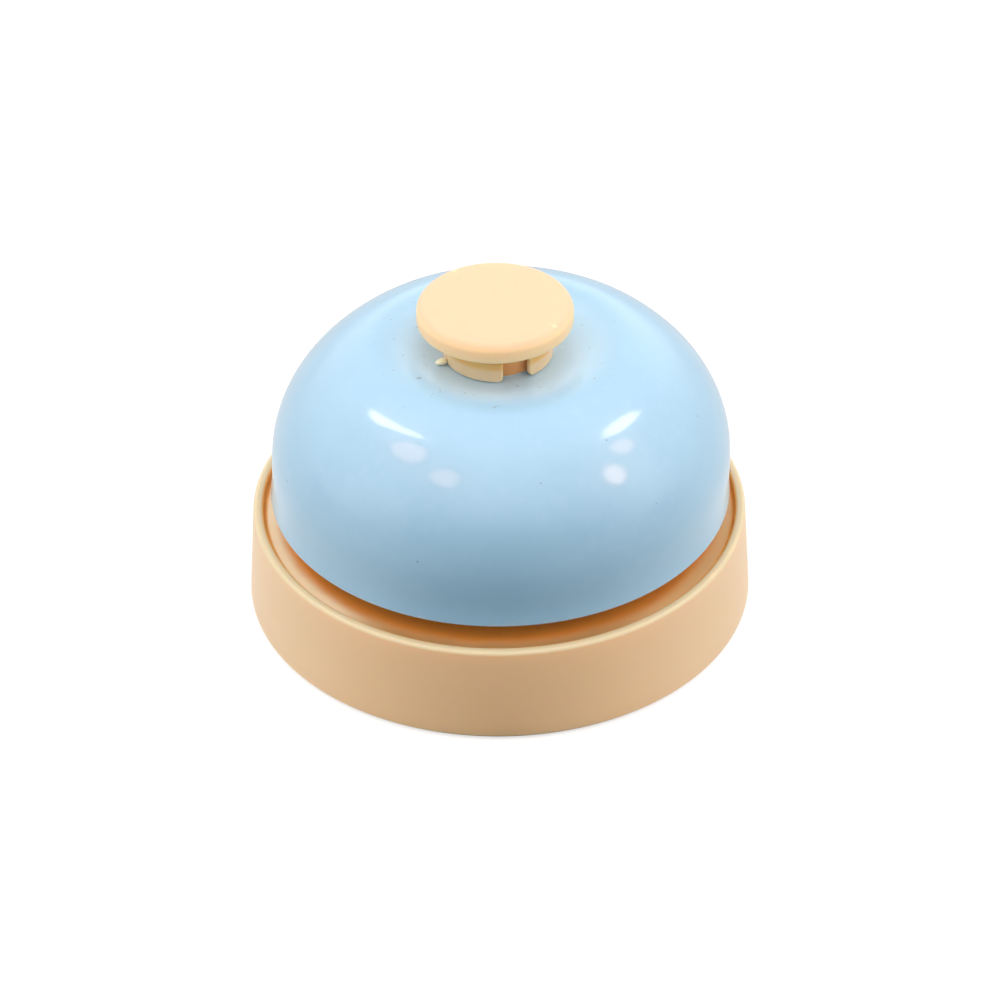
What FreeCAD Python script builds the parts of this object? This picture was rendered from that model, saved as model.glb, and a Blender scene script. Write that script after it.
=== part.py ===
import FreeCAD, Part
import math
import os
import Sketcher
from FreeCAD import Placement, Rotation, Vector

# Counter service bell: a cup with a covered bottom carries a bracket, a threaded post, a dome,
# a push button with its plunger, and a hammer.  One body or compound for each piece.
# Millimetres; +Z is up, the origin is the centre of the footprint on the table plane and the
# front is -Y.  The hammer arm swings in the XZ plane about a pin along Y.

doc = FreeCAD.newDocument("service_bell")

# ---------------------------------------------------------------------------------------------
# Driving dimensions: alias, value, meaning
# ---------------------------------------------------------------------------------------------
DIMENSIONS = [
    # base cup
    ("base_foot_radius", 37.55, "outer radius of the cup at its bottom edge, under the draft"),
    ("base_rim_radius", 36.60, "outer radius of the rim"),
    ("base_rim_z", 15.15, "height of the rim"),
    ("base_rim_inner", 35.12, "inner radius at the rim"),
    ("base_well_radius", 34.95, "inner radius where the wall meets the ledge"),
    ("base_edge_z", 0.40, "bottom edge of the cup wall"),
    ("base_skirt_inner", 35.95, "inner radius of the wall under the deck"),
    ("deck_top_z", 10.90, "top of the deck that carries the mechanism"),
    ("deck_under_z", 9.40, "underside of the deck"),
    ("ledge_z", 13.90, "height of the raised ledge between deck and wall"),
    ("ledge_inner", 27.50, "inner radius of the ledge"),
    ("ledge_foot", 25.60, "radius where the ledge's slope meets the deck"),
    ("rim_round", 0.62, "rounding of the rim's two edges"),
    ("well_round", 0.42, "inside rounding between wall and ledge"),
    ("edge_round", 0.35, "rounding of the bottom edge"),
    ("boss_radius", 3.00, "screw boss radius"),
    ("rib_width", 1.20, "stiffening rib width"),
    ("rib_low_z", 5.00, "lower edge of the ribs"),
    ("rib_start", 4.60, "distance of the ribs' inner ends from the axis"),
    ("rib_overlap", 0.30, "overlap of the ribs with the wall"),
    ("mount_boss_z", 3.80, "bottom of the bosses under the bracket feet"),
    ("cover_pilot_depth", 4.40, "depth of the pilot holes for the cover screws"),
    # bottom cover
    ("cover_radius", 35.70, "radius of the bottom cover"),
    ("cover_low_z", 0.80, "underside of the cover"),
    ("cover_top_z", 2.40, "top side of the cover"),
    ("cover_seat_z", 3.70, "top of the screw seats on the cover"),
    ("cover_seat_radius", 4.20, "radius of the screw seats"),
    ("cover_screw_ring", 24.00, "radius of the circle of cover screws"),
    ("cover_bore_radius", 1.60, "clearance hole for a cover screw"),
    ("cover_sink_radius", 2.70, "counterbore radius for a screw head"),
    ("cover_sink_depth", 1.35, "counterbore depth"),
    ("pad_radius", 4.50, "foot pad radius"),
    ("pad_thickness", 1.40, "foot pad thickness"),
    ("pad_ring", 29.00, "radius of the circle of foot pads"),
    ("pad_pocket_radius", 4.70, "radius of the pad pockets"),
    ("pad_round", 0.30, "edge break on the pads"),
    # screws
    ("screw_shank", 1.20, "screw shank radius"),
    ("screw_head_radius", 2.35, "screw head radius"),
    ("screw_head_height", 1.20, "screw head height"),
    ("cover_screw_length", 5.60, "length of the cover screws under the head"),
    ("bracket_screw_length", 6.20, "length of the bracket screws under the head"),
    ("screw_tip", 1.10, "length of the screw's pointed end"),
    ("drive_depth", 0.70, "depth of the cross recess"),
    ("drive_width", 0.55, "width of the cross recess"),
    # bracket
    ("sheet", 1.20, "bracket sheet thickness"),
    ("bracket_inner_y", 7.00, "half of the gap between the uprights"),
    ("bracket_top_z", 35.70, "top of the bracket's bridge"),
    ("bracket_foot_y", 17.00, "reach of the bracket feet"),
    ("bracket_half_x", 10.00, "half width of the bracket at the bridge"),
    ("bracket_foot_half_x", 6.00, "half width at the feet"),
    ("bracket_foot_rise", 3.00, "height above the deck where the uprights start to widen"),
    ("bracket_taper_z", 20.40, "height where the uprights reach full width"),
    ("bracket_screw_y", 12.70, "screw position on the bracket feet"),
    ("bracket_hole_radius", 1.50, "screw hole in the bracket feet"),
    ("bend_outer", 1.60, "outside radius of the bends"),
    ("bend_inner", 0.60, "inside radius of the bends"),
    ("foot_corner_round", 2.00, "rounding of the feet's outer corners"),
    # post
    ("post_radius", 5.00, "outer radius of the threaded post"),
    ("post_chamfer", 0.40, "chamfer on both ends of the post"),
    ("post_root", 0.48, "depth of the post's thread grooves"),
    ("post_pitch", 1.00, "pitch of the thread grooves"),
    ("thread_start", 0.55, "start of the first groove above the post's lower end"),
    ("thread_land", 0.20, "gap between neighbouring grooves at their mouths"),
    ("thread_over", 0.05, "reach of the groove profile outside the post"),
    ("post_low_z", 30.70, "lower end of the post"),
    ("post_top_z", 45.00, "upper end of the post"),
    ("guide_radius", 1.55, "bore that guides the plunger"),
    ("spring_seat_z", 35.90, "floor of the spring pocket in the post"),
    ("spring_pocket_radius", 3.30, "radius of the spring pocket in the post"),
    ("post_hole_radius", 5.08, "hole for the post in bracket and dome"),
    # nuts and washers
    ("nut_flats", 13.00, "across flats of the nuts"),
    ("nut_height", 3.00, "height of the nuts"),
    ("nut_flat_radius", 6.40, "radius left flat on the nut faces"),
    ("nut_chamfer_outer", 8.30, "outer radius of the nut chamfer's profile"),
    ("nut_chamfer_height", 0.50, "height of the nut chamfer's profile"),
    ("lock_washer_radius", 7.60, "outer radius of the spring washer"),
    ("lock_washer_height", 1.00, "height of the spring washer"),
    ("lock_washer_slit", 1.00, "slit in the spring washer"),
    ("fibre_radius", 8.00, "radius of the washer under the dome"),
    ("fibre_height", 1.30, "height of the washer under the dome"),
    ("soft_radius", 6.45, "radius of the washer over the dome"),
    ("soft_height", 0.25, "height of the washer over the dome"),
    # dome
    ("dome_radius", 33.85, "radius of the dome at its middle"),
    ("dome_mouth_radius", 34.10, "radius of the dome at its mouth"),
    ("dome_mouth_z", 17.85, "height of the mouth above the table"),
    ("dome_mid_z", 23.65, "height where the wall starts to turn in"),
    ("dome_rise", 24.20, "rise of the shoulder curve above the middle"),
    ("dome_crest_radius", 16.70, "radius of the crest round the dish"),
    ("dome_crest_z", 43.50, "height of the crest"),
    ("dome_land_radius", 7.30, "radius of the flat land round the hole"),
    ("dome_land_z", 41.80, "height of the flat land"),
    ("dome_sheet", 0.80, "thickness of the dome"),
    ("dome_lip_round", 0.36, "rounding of the mouth edge"),
    # collar
    ("collar_top_z", 45.30, "top of the collar nut"),
    ("collar_barrel", 6.60, "radius of the collar's barrel"),
    ("collar_skirt_outer", 8.00, "outer radius of the collar's skirt"),
    ("collar_skirt_inner", 7.15, "inner radius of the collar's skirt"),
    ("collar_skirt_z", 41.95, "lower edge of the skirt"),
    ("collar_web_z", 44.30, "underside of the web between barrel and skirt"),
    ("collar_round", 0.80, "rounding of the skirt's top edge"),
    ("slot_half_angle", 14.50, "half of the angle of one slot in the skirt"),
    ("slot_start_angle", -70.50, "direction of the first slot"),
    # button and plunger
    ("button_radius", 11.35, "radius of the button"),
    ("button_top_z", 50.40, "top of the button"),
    ("button_under_z", 47.40, "underside of the button"),
    ("button_flat_radius", 10.25, "radius of the button's flat top"),
    ("button_side_z", 49.35, "height where the rounded top edge meets the straight side"),
    ("button_side_low_z", 47.75, "lower end of the button's straight side"),
    ("button_under_radius", 11.05, "radius of the button's lower edge"),
    ("button_boss_radius", 2.90, "radius of the boss under the button"),
    ("button_boss_z", 45.40, "lower end of the boss"),
    ("button_hollow_z", 48.50, "roof of the shallow hollow under the button"),
    ("button_hollow_outer", 9.60, "outer radius of that hollow"),
    ("button_hollow_inner", 4.30, "inner radius of that hollow"),
    ("rod_radius", 1.50, "plunger rod radius"),
    ("rod_chamfer", 0.30, "chamfer on the rod's upper end"),
    ("rod_top_z", 49.00, "upper end of the plunger rod"),
    ("rod_tip_z", 27.80, "lowest point of the rod's round tip"),
    ("clip_groove_radius", 1.10, "radius left in the clip groove"),
    ("clip_low_z", 30.08, "underside of the stop clip"),
    ("clip_height", 0.56, "thickness of the stop clip"),
    ("clip_radius", 3.00, "outer radius of the stop clip"),
    ("clip_mouth_x", 0.20, "inner end of the stop clip's mouth"),
    ("clip_notch_x", 0.95, "distance of the relief notches behind the rod's axis"),
    ("clip_notch_y", 1.25, "distance of the relief notches beside the rod's axis"),
    ("clip_notch_radius", 0.62, "radius of the relief notches"),
    ("spring_mean", 2.55, "mean radius of the return spring"),
    ("spring_wire", 0.25, "wire radius of the return spring"),
    ("spring_turns", 8.50, "turns of the return spring"),
    # hammer
    ("pivot_x", 6.00, "hammer pivot, x"),
    ("pivot_z", 25.60, "hammer pivot, z"),
    ("pin_radius", 1.20, "pivot pin radius"),
    ("pin_hole_bracket", 1.22, "pin hole in the bracket"),
    ("pin_hole_arm", 1.25, "pin hole in the arm"),
    ("pin_head_radius", 2.20, "pin head radius"),
    ("pin_head_height", 0.80, "pin head thickness"),
    ("pin_end_y", 9.60, "free end of the pin"),
    ("pin_chamfer", 0.25, "chamfer on the pin's free end"),
    ("pivot_clip_gap", 0.10, "gap between bracket and pivot clip"),
    ("pivot_clip_sheet", 0.50, "thickness of the pivot clip"),
    ("pivot_clip_radius", 2.50, "outer radius of the pivot clip"),
    ("pivot_mouth_low", 0.72, "half width of the pivot clip's mouth at its open end"),
    ("pivot_mouth_top", 0.66, "half width of that mouth at its upper end"),
    ("pivot_mouth_drop", 0.20, "upper end of that mouth below the pin's axis"),
    ("arm_top_rise", 2.17, "top of the arm above the pivot"),
    ("arm_sheet", 1.00, "arm sheet thickness"),
    ("arm_tail", 9.50, "arm length behind the pivot"),
    ("arm_nose", 20.40, "arm length ahead of the pivot"),
    ("arm_shoulder", 4.20, "where the arm starts to narrow, ahead of the pivot"),
    ("arm_neck", 8.50, "where the arm has its narrow width, ahead of the pivot"),
    ("arm_half_width", 3.00, "half width of the arm at the pivot"),
    ("arm_tip_half_width", 2.20, "half width of the arm near the head"),
    ("arm_tail_round", 1.50, "rounding of the tail's corners"),
    ("ear_radius", 2.80, "radius of the arm's ears round the pin"),
    ("spacer_radius", 2.00, "radius of the spacers on the pin"),
    ("spacer_arm_gap", 0.06, "gap between spacer and arm"),
    ("spacer_bracket_gap", 0.04, "gap between spacer and bracket"),
    ("head_radius", 4.00, "hammer head radius"),
    ("head_reach", 18.30, "head axis ahead of the pivot"),
    ("head_skirt", 1.70, "height of the head's side under its round crown"),
    ("head_chamfer", 0.40, "chamfer on the head's lower edge"),
    ("rivet_radius", 1.15, "rivet shank radius"),
    ("rivet_depth", 2.40, "depth of the rivet in the head"),
    ("rivet_head_radius", 2.00, "rivet head radius"),
    ("rivet_head_height", 0.90, "rivet head height"),
]
spreadsheet = doc.addObject("Spreadsheet::Sheet", "Dims")
dims = {}
for row, (alias, number, meaning) in enumerate(DIMENSIONS, start=1):
    spreadsheet.set("A%d" % row, alias)
    spreadsheet.set("B%d" % row, str(number))
    spreadsheet.set("C%d" % row, meaning)
    spreadsheet.setAlias("B%d" % row, alias)
    dims[alias] = float(number)
doc.recompute()

# Places that several pieces share, as expressions
PAD_OFFSET = "0.70710678*pad_ring"  # x and y of a pad: the ring's radius along a diagonal
BRACKET_FACE = "bracket_inner_y + sheet"  # outer face of the back upright
ARM_TOP = "pivot_z + arm_top_rise"
CLIP_PLANE = "clip_low_z + clip_height + 0.1"  # sketch plane just over the stop clip


# ---------------------------------------------------------------------------------------------
# Expressions: sums of products such as "deck_top_z + 0.5*sheet", with spaces round + and -
# ---------------------------------------------------------------------------------------------
def val(expr):
    """Number of an expression."""
    total, sign = 0.0, 1.0
    for token in expr.split():
        if token in "+-":
            sign = 1.0 if token == "+" else -1.0
            continue
        product = 1.0
        for factor in token.split("*"):
            product *= dims[factor] if factor in dims else float(factor)
        total += sign * product
    return total


def full(expr):
    """The same expression with the spreadsheet's name before each alias."""
    return " ".join(
        token if token in "+-"
        else " * ".join("Dims." + f if f in dims else f for f in token.split("*"))
        for token in expr.split()
    )


def drive(obj, **settings):
    """Binds properties to the spreadsheet."""
    for key, expr in settings.items():
        setattr(obj, key, val(expr))
        obj.setExpression(key, full(expr))


# ---------------------------------------------------------------------------------------------
# Bodies and sketches.  Sketch axes: XY -> x, y;  XZ -> x, z (normal -Y);  YZ -> y, z.
# ---------------------------------------------------------------------------------------------
def new_body(name):
    body = doc.addObject("PartDesign::Body", name + "_body")
    body.Label = name
    return body


def origin_feature(body, role):
    return next(item for item in body.Origin.OriginFeatures if item.Role == role)


def place_body(body, **places):
    """Moves a finished body to x and z, given as expressions."""
    base = Vector(*[val(places.get(axis, "0")) for axis in "xyz"])
    body.Placement = Placement(base, Rotation())
    for axis, expr in places.items():
        body.setExpression("Placement.Base." + axis, full(expr))
    doc.recompute()


def new_sketch(body, name, plane="XZ_Plane", lift=None):
    """Sketch on an origin plane, or lifted along that plane's normal."""
    sketch = body.newObject("Sketcher::SketchObject", name)
    sketch.AttachmentSupport = (origin_feature(body, plane), [""])
    sketch.MapMode = "FlatFace"
    if lift is not None:
        sketch.AttachmentOffset = Placement(Vector(0, 0, val(lift)), Rotation())
        sketch.setExpression("AttachmentOffset.Base.z", full(lift))
    return sketch


def pin_point(sketch, piece, end, x_expr, y_expr):
    """Ties one sketch point to the spreadsheet; a zero ties it to a sketch axis."""
    for axis, zero_line, expr in (("X", -2, x_expr), ("Y", -1, y_expr)):
        number = val(expr)
        if abs(number) < 1e-9:
            sketch.addConstraint(Sketcher.Constraint("PointOnObject", piece, end, zero_line))
            continue
        index = sketch.addConstraint(
            Sketcher.Constraint("Distance" + axis, -1, 1, piece, end, number))
        sketch.setExpression("Constraints[%d]" % index, full(expr))


def set_radius(sketch, piece, expr):
    index = sketch.addConstraint(Sketcher.Constraint("Radius", piece, val(expr)))
    sketch.setExpression("Constraints[%d]" % index, full(expr))


def join(sketch, piece, end, other, other_end):
    sketch.addConstraint(Sketcher.Constraint("Coincident", piece, end, other, other_end))


def spline(points, start_tangent, end_tangent):
    curve = Part.BSplineCurve()
    curve.interpolate(
        Points=[Vector(x, y, 0) for x, y in points],
        InitialTangent=Vector(*start_tangent, 0),
        FinalTangent=Vector(*end_tangent, 0),
    )
    return curve


def outline(sketch, points, curves=None):
    """Closed outline through points given as expressions.

    curves[i] = (inner points, start tangent, end tangent) makes the side from point i a spline.
    """
    curves = curves or {}
    corners = [(val(x), val(y)) for x, y in points]
    count = len(corners)
    sides = []
    for i, start in enumerate(corners):
        end = corners[(i + 1) % count]
        if i in curves:
            through, start_tangent, end_tangent = curves[i]
            side = spline([start] + through + [end], start_tangent, end_tangent)
        else:
            side = Part.LineSegment(Vector(*start, 0), Vector(*end, 0))
        sides.append(sketch.addGeometry(side, False))
    for i in range(count):
        join(sketch, sides[i], 2, sides[(i + 1) % count], 1)
    for i, (x_expr, y_expr) in enumerate(points):
        # the start of a spline is pinned through the line that ends there
        piece, end = (sides[i - 1], 2) if i in curves else (sides[i], 1)
        pin_point(sketch, piece, end, x_expr, y_expr)


def outline_sketch(body, name, points, plane="XY_Plane", lift=None):
    sketch = new_sketch(body, name, plane, lift)
    outline(sketch, points)
    return sketch


def circle_sketch(body, name, x_expr, y_expr, radius, plane="XY_Plane", lift=None):
    sketch = new_sketch(body, name, plane, lift)
    center = Vector(val(x_expr), val(y_expr), 0)
    piece = sketch.addGeometry(Part.Circle(center, Vector(0, 0, 1), val(radius)), False)
    set_radius(sketch, piece, radius)
    if center.Length < 1e-9:
        join(sketch, piece, 3, -1, 1)
    else:
        pin_point(sketch, piece, 3, x_expr, y_expr)
    return sketch


# ---------------------------------------------------------------------------------------------
# Features
# ---------------------------------------------------------------------------------------------
def add_feature(body, kind, name, sketch):
    item = body.newObject("PartDesign::" + kind, name)
    item.Profile = (sketch, [""])
    sketch.Visibility = False
    return item


def extrude(body, kind, name, sketch, length, **direction):
    item = add_feature(body, kind, name, sketch)
    for key, flag in direction.items():
        setattr(item, key, flag)
    drive(item, Length=length)
    doc.recompute()
    return item


def pad(body, name, sketch, length, **direction):
    return extrude(body, "Pad", name, sketch, length, **direction)


def require_cut(body, before, name):
    if not body.Shape.Volume < before - 1e-6:
        raise RuntimeError(name + " cut nothing")


def pocket(body, name, sketch, length, **direction):
    before = body.Shape.Volume
    item = extrude(body, "Pocket", name, sketch, length, **direction)
    require_cut(body, before, name)
    return item


def revolve(body, name, points, curves=None, kind="Revolution", plane="XZ_Plane",
            axis="V_Axis"):
    sketch = new_sketch(body, name + "_profile", plane)
    outline(sketch, points, curves)
    item = add_feature(body, kind, name, sketch)
    item.ReferenceAxis = (sketch, [axis])
    item.Angle = 360.0
    doc.recompute()
    return item


def groove(body, name, points):
    before = body.Shape.Volume
    item = revolve(body, name, points, kind="Groove")
    require_cut(body, before, name)
    return item


def mirror_y(body, name, original):
    """Repeats a feature on the other side of the XZ plane."""
    mirror = body.newObject("PartDesign::Mirrored", name)
    mirror.Originals = [original]
    mirror.MirrorPlane = (origin_feature(body, "XZ_Plane"), [""])
    body.Tip = mirror
    doc.recompute()


def repeat_round(body, name, original, times):
    """Repeats a feature evenly round Z."""
    pattern = body.newObject("PartDesign::PolarPattern", name)
    pattern.Originals = [original]
    pattern.Axis = (origin_feature(body, "Z_Axis"), [""])
    pattern.Angle = 360.0
    pattern.Occurrences = times
    body.Tip = pattern
    doc.recompute()


def edges_where(body, test):
    return ["Edge%d" % i for i, edge in enumerate(body.Shape.Edges, start=1) if test(edge)]


def ring_edges(body, *rings):
    """Circular edges about Z, each given as (radius, z)."""
    def test(edge):
        if not isinstance(edge.Curve, Part.Circle):
            return False
        center = edge.Curve.Center
        return math.hypot(center.x, center.y) < 0.02 and any(
            abs(edge.Curve.Radius - val(radius)) < 0.02 and abs(center.z - val(z)) < 0.02
            for radius, z in rings)
    return edges_where(body, test)


def line_edges(body, test):
    """Straight edges whose two end points pass the test."""
    return edges_where(body, lambda edge: isinstance(edge.Curve, Part.Line)
                       and test(edge.Vertexes[0].Point, edge.Vertexes[-1].Point))


def fillet(body, name, edges, radius):
    if not edges:
        raise RuntimeError("no edge for " + name)
    base = body.Tip
    item = body.newObject("PartDesign::Fillet", name)
    item.Base = (base, edges)
    drive(item, Radius=radius)
    doc.recompute()


# ---------------------------------------------------------------------------------------------
# Base cup: drafted outer wall, deck that carries the mechanism, bosses and ribs underneath
# ---------------------------------------------------------------------------------------------
def base_cup():
    body = new_body("base_cup")
    revolve(body, "cup_shell", [
        ("0", "deck_under_z"),
        ("base_skirt_inner", "deck_under_z"),
        ("base_skirt_inner", "base_edge_z"),
        ("base_foot_radius", "base_edge_z"),
        ("base_rim_radius", "base_rim_z"),
        ("base_rim_inner", "base_rim_z"),
        ("base_well_radius", "ledge_z"),
        ("ledge_inner", "ledge_z"),
        ("ledge_foot", "deck_top_z"),
        ("0", "deck_top_z"),
    ])
    # bosses for the bracket screws, then for the cover screws
    sketch = circle_sketch(body, "bracket_boss_sketch", "0", "bracket_screw_y", "boss_radius",
                           lift="mount_boss_z")
    boss = pad(body, "bracket_boss", sketch, "deck_under_z - mount_boss_z")
    mirror_y(body, "bracket_boss_pair", boss)
    sketch = circle_sketch(body, "cover_boss_sketch", "cover_screw_ring", "0", "boss_radius",
                           lift="cover_seat_z")
    boss = pad(body, "cover_boss", sketch, "deck_under_z - cover_seat_z")
    repeat_round(body, "cover_boss_ring", boss, 3)
    # radial ribs out to the wall
    sketch = outline_sketch(body, "rib_sketch", [
        ("rib_start", "0 - 0.5*rib_width"),
        ("base_skirt_inner + rib_overlap", "0 - 0.5*rib_width"),
        ("base_skirt_inner + rib_overlap", "0.5*rib_width"),
        ("rib_start", "0.5*rib_width"),
    ], lift="rib_low_z")
    rib = pad(body, "rib", sketch, "deck_under_z - rib_low_z")
    repeat_round(body, "rib_star", rib, 6)
    # pilot holes
    sketch = circle_sketch(body, "bracket_pilot_sketch", "0", "bracket_screw_y", "screw_shank",
                           lift="deck_top_z")
    hole = pocket(body, "bracket_pilot", sketch, "bracket_screw_length")
    mirror_y(body, "bracket_pilot_pair", hole)
    sketch = circle_sketch(body, "cover_pilot_sketch", "cover_screw_ring", "0", "screw_shank",
                           lift="cover_seat_z")
    hole = pocket(body, "cover_pilot", sketch, "cover_pilot_depth", Reversed=True)
    repeat_round(body, "cover_pilot_ring", hole, 3)

    rim = ring_edges(body, ("base_rim_radius", "base_rim_z"), ("base_rim_inner", "base_rim_z"))
    fillet(body, "rim_rounding", rim, "rim_round")
    fillet(body, "well_rounding", ring_edges(body, ("base_well_radius", "ledge_z")),
           "well_round")
    fillet(body, "edge_rounding", ring_edges(body, ("base_foot_radius", "base_edge_z")),
           "edge_round")
    return body


# ---------------------------------------------------------------------------------------------
# Bottom cover: flat disc let into the cup, with three screw seats and four pad pockets
# ---------------------------------------------------------------------------------------------
def bottom_cover():
    body = new_body("bottom_cover")
    revolve(body, "cover_disc", [
        ("0", "cover_low_z"),
        ("cover_radius", "cover_low_z"),
        ("cover_radius", "cover_top_z"),
        ("0", "cover_top_z"),
    ])
    sketch = circle_sketch(body, "seat_sketch", "cover_screw_ring", "0", "cover_seat_radius",
                           lift="cover_top_z")
    seat = pad(body, "screw_seat", sketch, "cover_seat_z - cover_top_z")
    repeat_round(body, "seat_ring", seat, 3)
    # name, x, y, radius, depth, number of holes; all cut upwards from the underside
    for name, x_expr, y_expr, radius, depth, times in (
        ("bore", "cover_screw_ring", "0", "cover_bore_radius", "cover_seat_z - cover_low_z", 3),
        ("sink", "cover_screw_ring", "0", "cover_sink_radius", "cover_sink_depth", 3),
        ("pad_pocket", PAD_OFFSET, PAD_OFFSET, "pad_pocket_radius",
         "pad_thickness - cover_low_z", 4),
    ):
        sketch = circle_sketch(body, name + "_sketch", x_expr, y_expr, radius,
                               lift="cover_low_z")
        hole = pocket(body, name, sketch, depth, Reversed=True)
        repeat_round(body, name + "_ring", hole, times)
    return body


def group_of(label, links):
    group = doc.addObject("Part::Compound", label + "_group")
    group.Links = links
    group.Label = label
    doc.recompute()
    return group


def foot_pads():
    """Four rubber discs with a rounded lower edge, standing on the table."""
    pads = []
    for i, (x_sign, y_sign) in enumerate((("", ""), ("0 - ", ""), ("0 - ", "0 - "), ("", "0 - "))):
        x_expr, y_expr = x_sign + PAD_OFFSET, y_sign + PAD_OFFSET
        disc = doc.addObject("Part::Cylinder", "pad_disc_%d" % (i + 1))
        drive(disc, Radius="pad_radius", Height="pad_thickness")
        disc.Placement = Placement(Vector(val(x_expr), val(y_expr), 0), Rotation())
        disc.setExpression("Placement.Base.x", full(x_expr))
        disc.setExpression("Placement.Base.y", full(y_expr))
        doc.recompute()
        low = [
            k for k, edge in enumerate(disc.Shape.Edges, start=1)
            if isinstance(edge.Curve, Part.Circle) and abs(edge.Curve.Center.z) < 1e-6
        ]
        rounded = doc.addObject("Part::Fillet", "pad_%d" % (i + 1))
        rounded.Base = disc
        rounded.Edges = [(k, dims["pad_round"], dims["pad_round"]) for k in low]
        doc.recompute()
        pads.append(rounded)
    return group_of("foot_pads", pads)


# ---------------------------------------------------------------------------------------------
# Pan-head screws.  The master stands head up, with the seat under its head at z = 0.
# ---------------------------------------------------------------------------------------------
def screw_master(name, length):
    body = new_body(name)
    revolve(body, name + "_turned", [
        ("0", "0 - " + length),
        ("screw_shank", "0 - " + length + " + screw_tip"),
        ("screw_shank", "0"),
        ("screw_head_radius", "0"),
        ("screw_head_radius", "0.55*screw_head_height"),
        ("0.62*screw_head_radius", "screw_head_height"),
        ("0", "screw_head_height"),
    ])
    # cross recess: one bar along X, one along Y
    reach, half_width = "0.58*screw_head_radius", "0.5*drive_width"
    for k, (right, back) in enumerate(((reach, half_width), (half_width, reach))):
        left, front = "0 - " + right, "0 - " + back
        sketch = outline_sketch(body, name + "_drive_%d" % k, [
            (left, front), (right, front), (right, back), (left, back),
        ], lift="screw_head_height")
        pocket(body, name + "_recess_%d" % k, sketch, "drive_depth")
    return body


def place_copies(master, placements, label):
    copies = []
    for placement in placements:
        shape = master.Shape.copy()
        shape.Placement = placement.multiply(shape.Placement)
        copies.append(shape)
    group = doc.addObject("Part::Feature", label + "_group")
    group.Shape = Part.makeCompound(copies)
    group.Label = label
    doc.recompute()
    return group


def cover_screws():
    """Three screws, heads down in the cover's counterbores."""
    master = screw_master("cover_screw_master", "cover_screw_length")
    head_down = Rotation(Vector(1, 0, 0), 180)
    ring = dims["cover_screw_ring"]
    seat_z = val("cover_low_z + cover_sink_depth")
    places = []
    for i in range(3):
        angle = math.radians(120.0 * i)
        spot = Vector(ring * math.cos(angle), ring * math.sin(angle), seat_z)
        places.append(Placement(spot, head_down))
    return place_copies(master, places, "cover_screws")


def bracket_screws():
    """Two screws, heads up on the bracket feet."""
    master = screw_master("bracket_screw_master", "bracket_screw_length")
    y, seat_z = dims["bracket_screw_y"], val("deck_top_z + sheet")
    # side in y, turn of the cross recess in degrees
    places = [
        Placement(Vector(0, side * y, seat_z), Rotation(Vector(0, 0, 1), turn))
        for side, turn in ((1, 55.0), (-1, -15.0))
    ]
    return place_copies(master, places, "bracket_screws")


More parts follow.
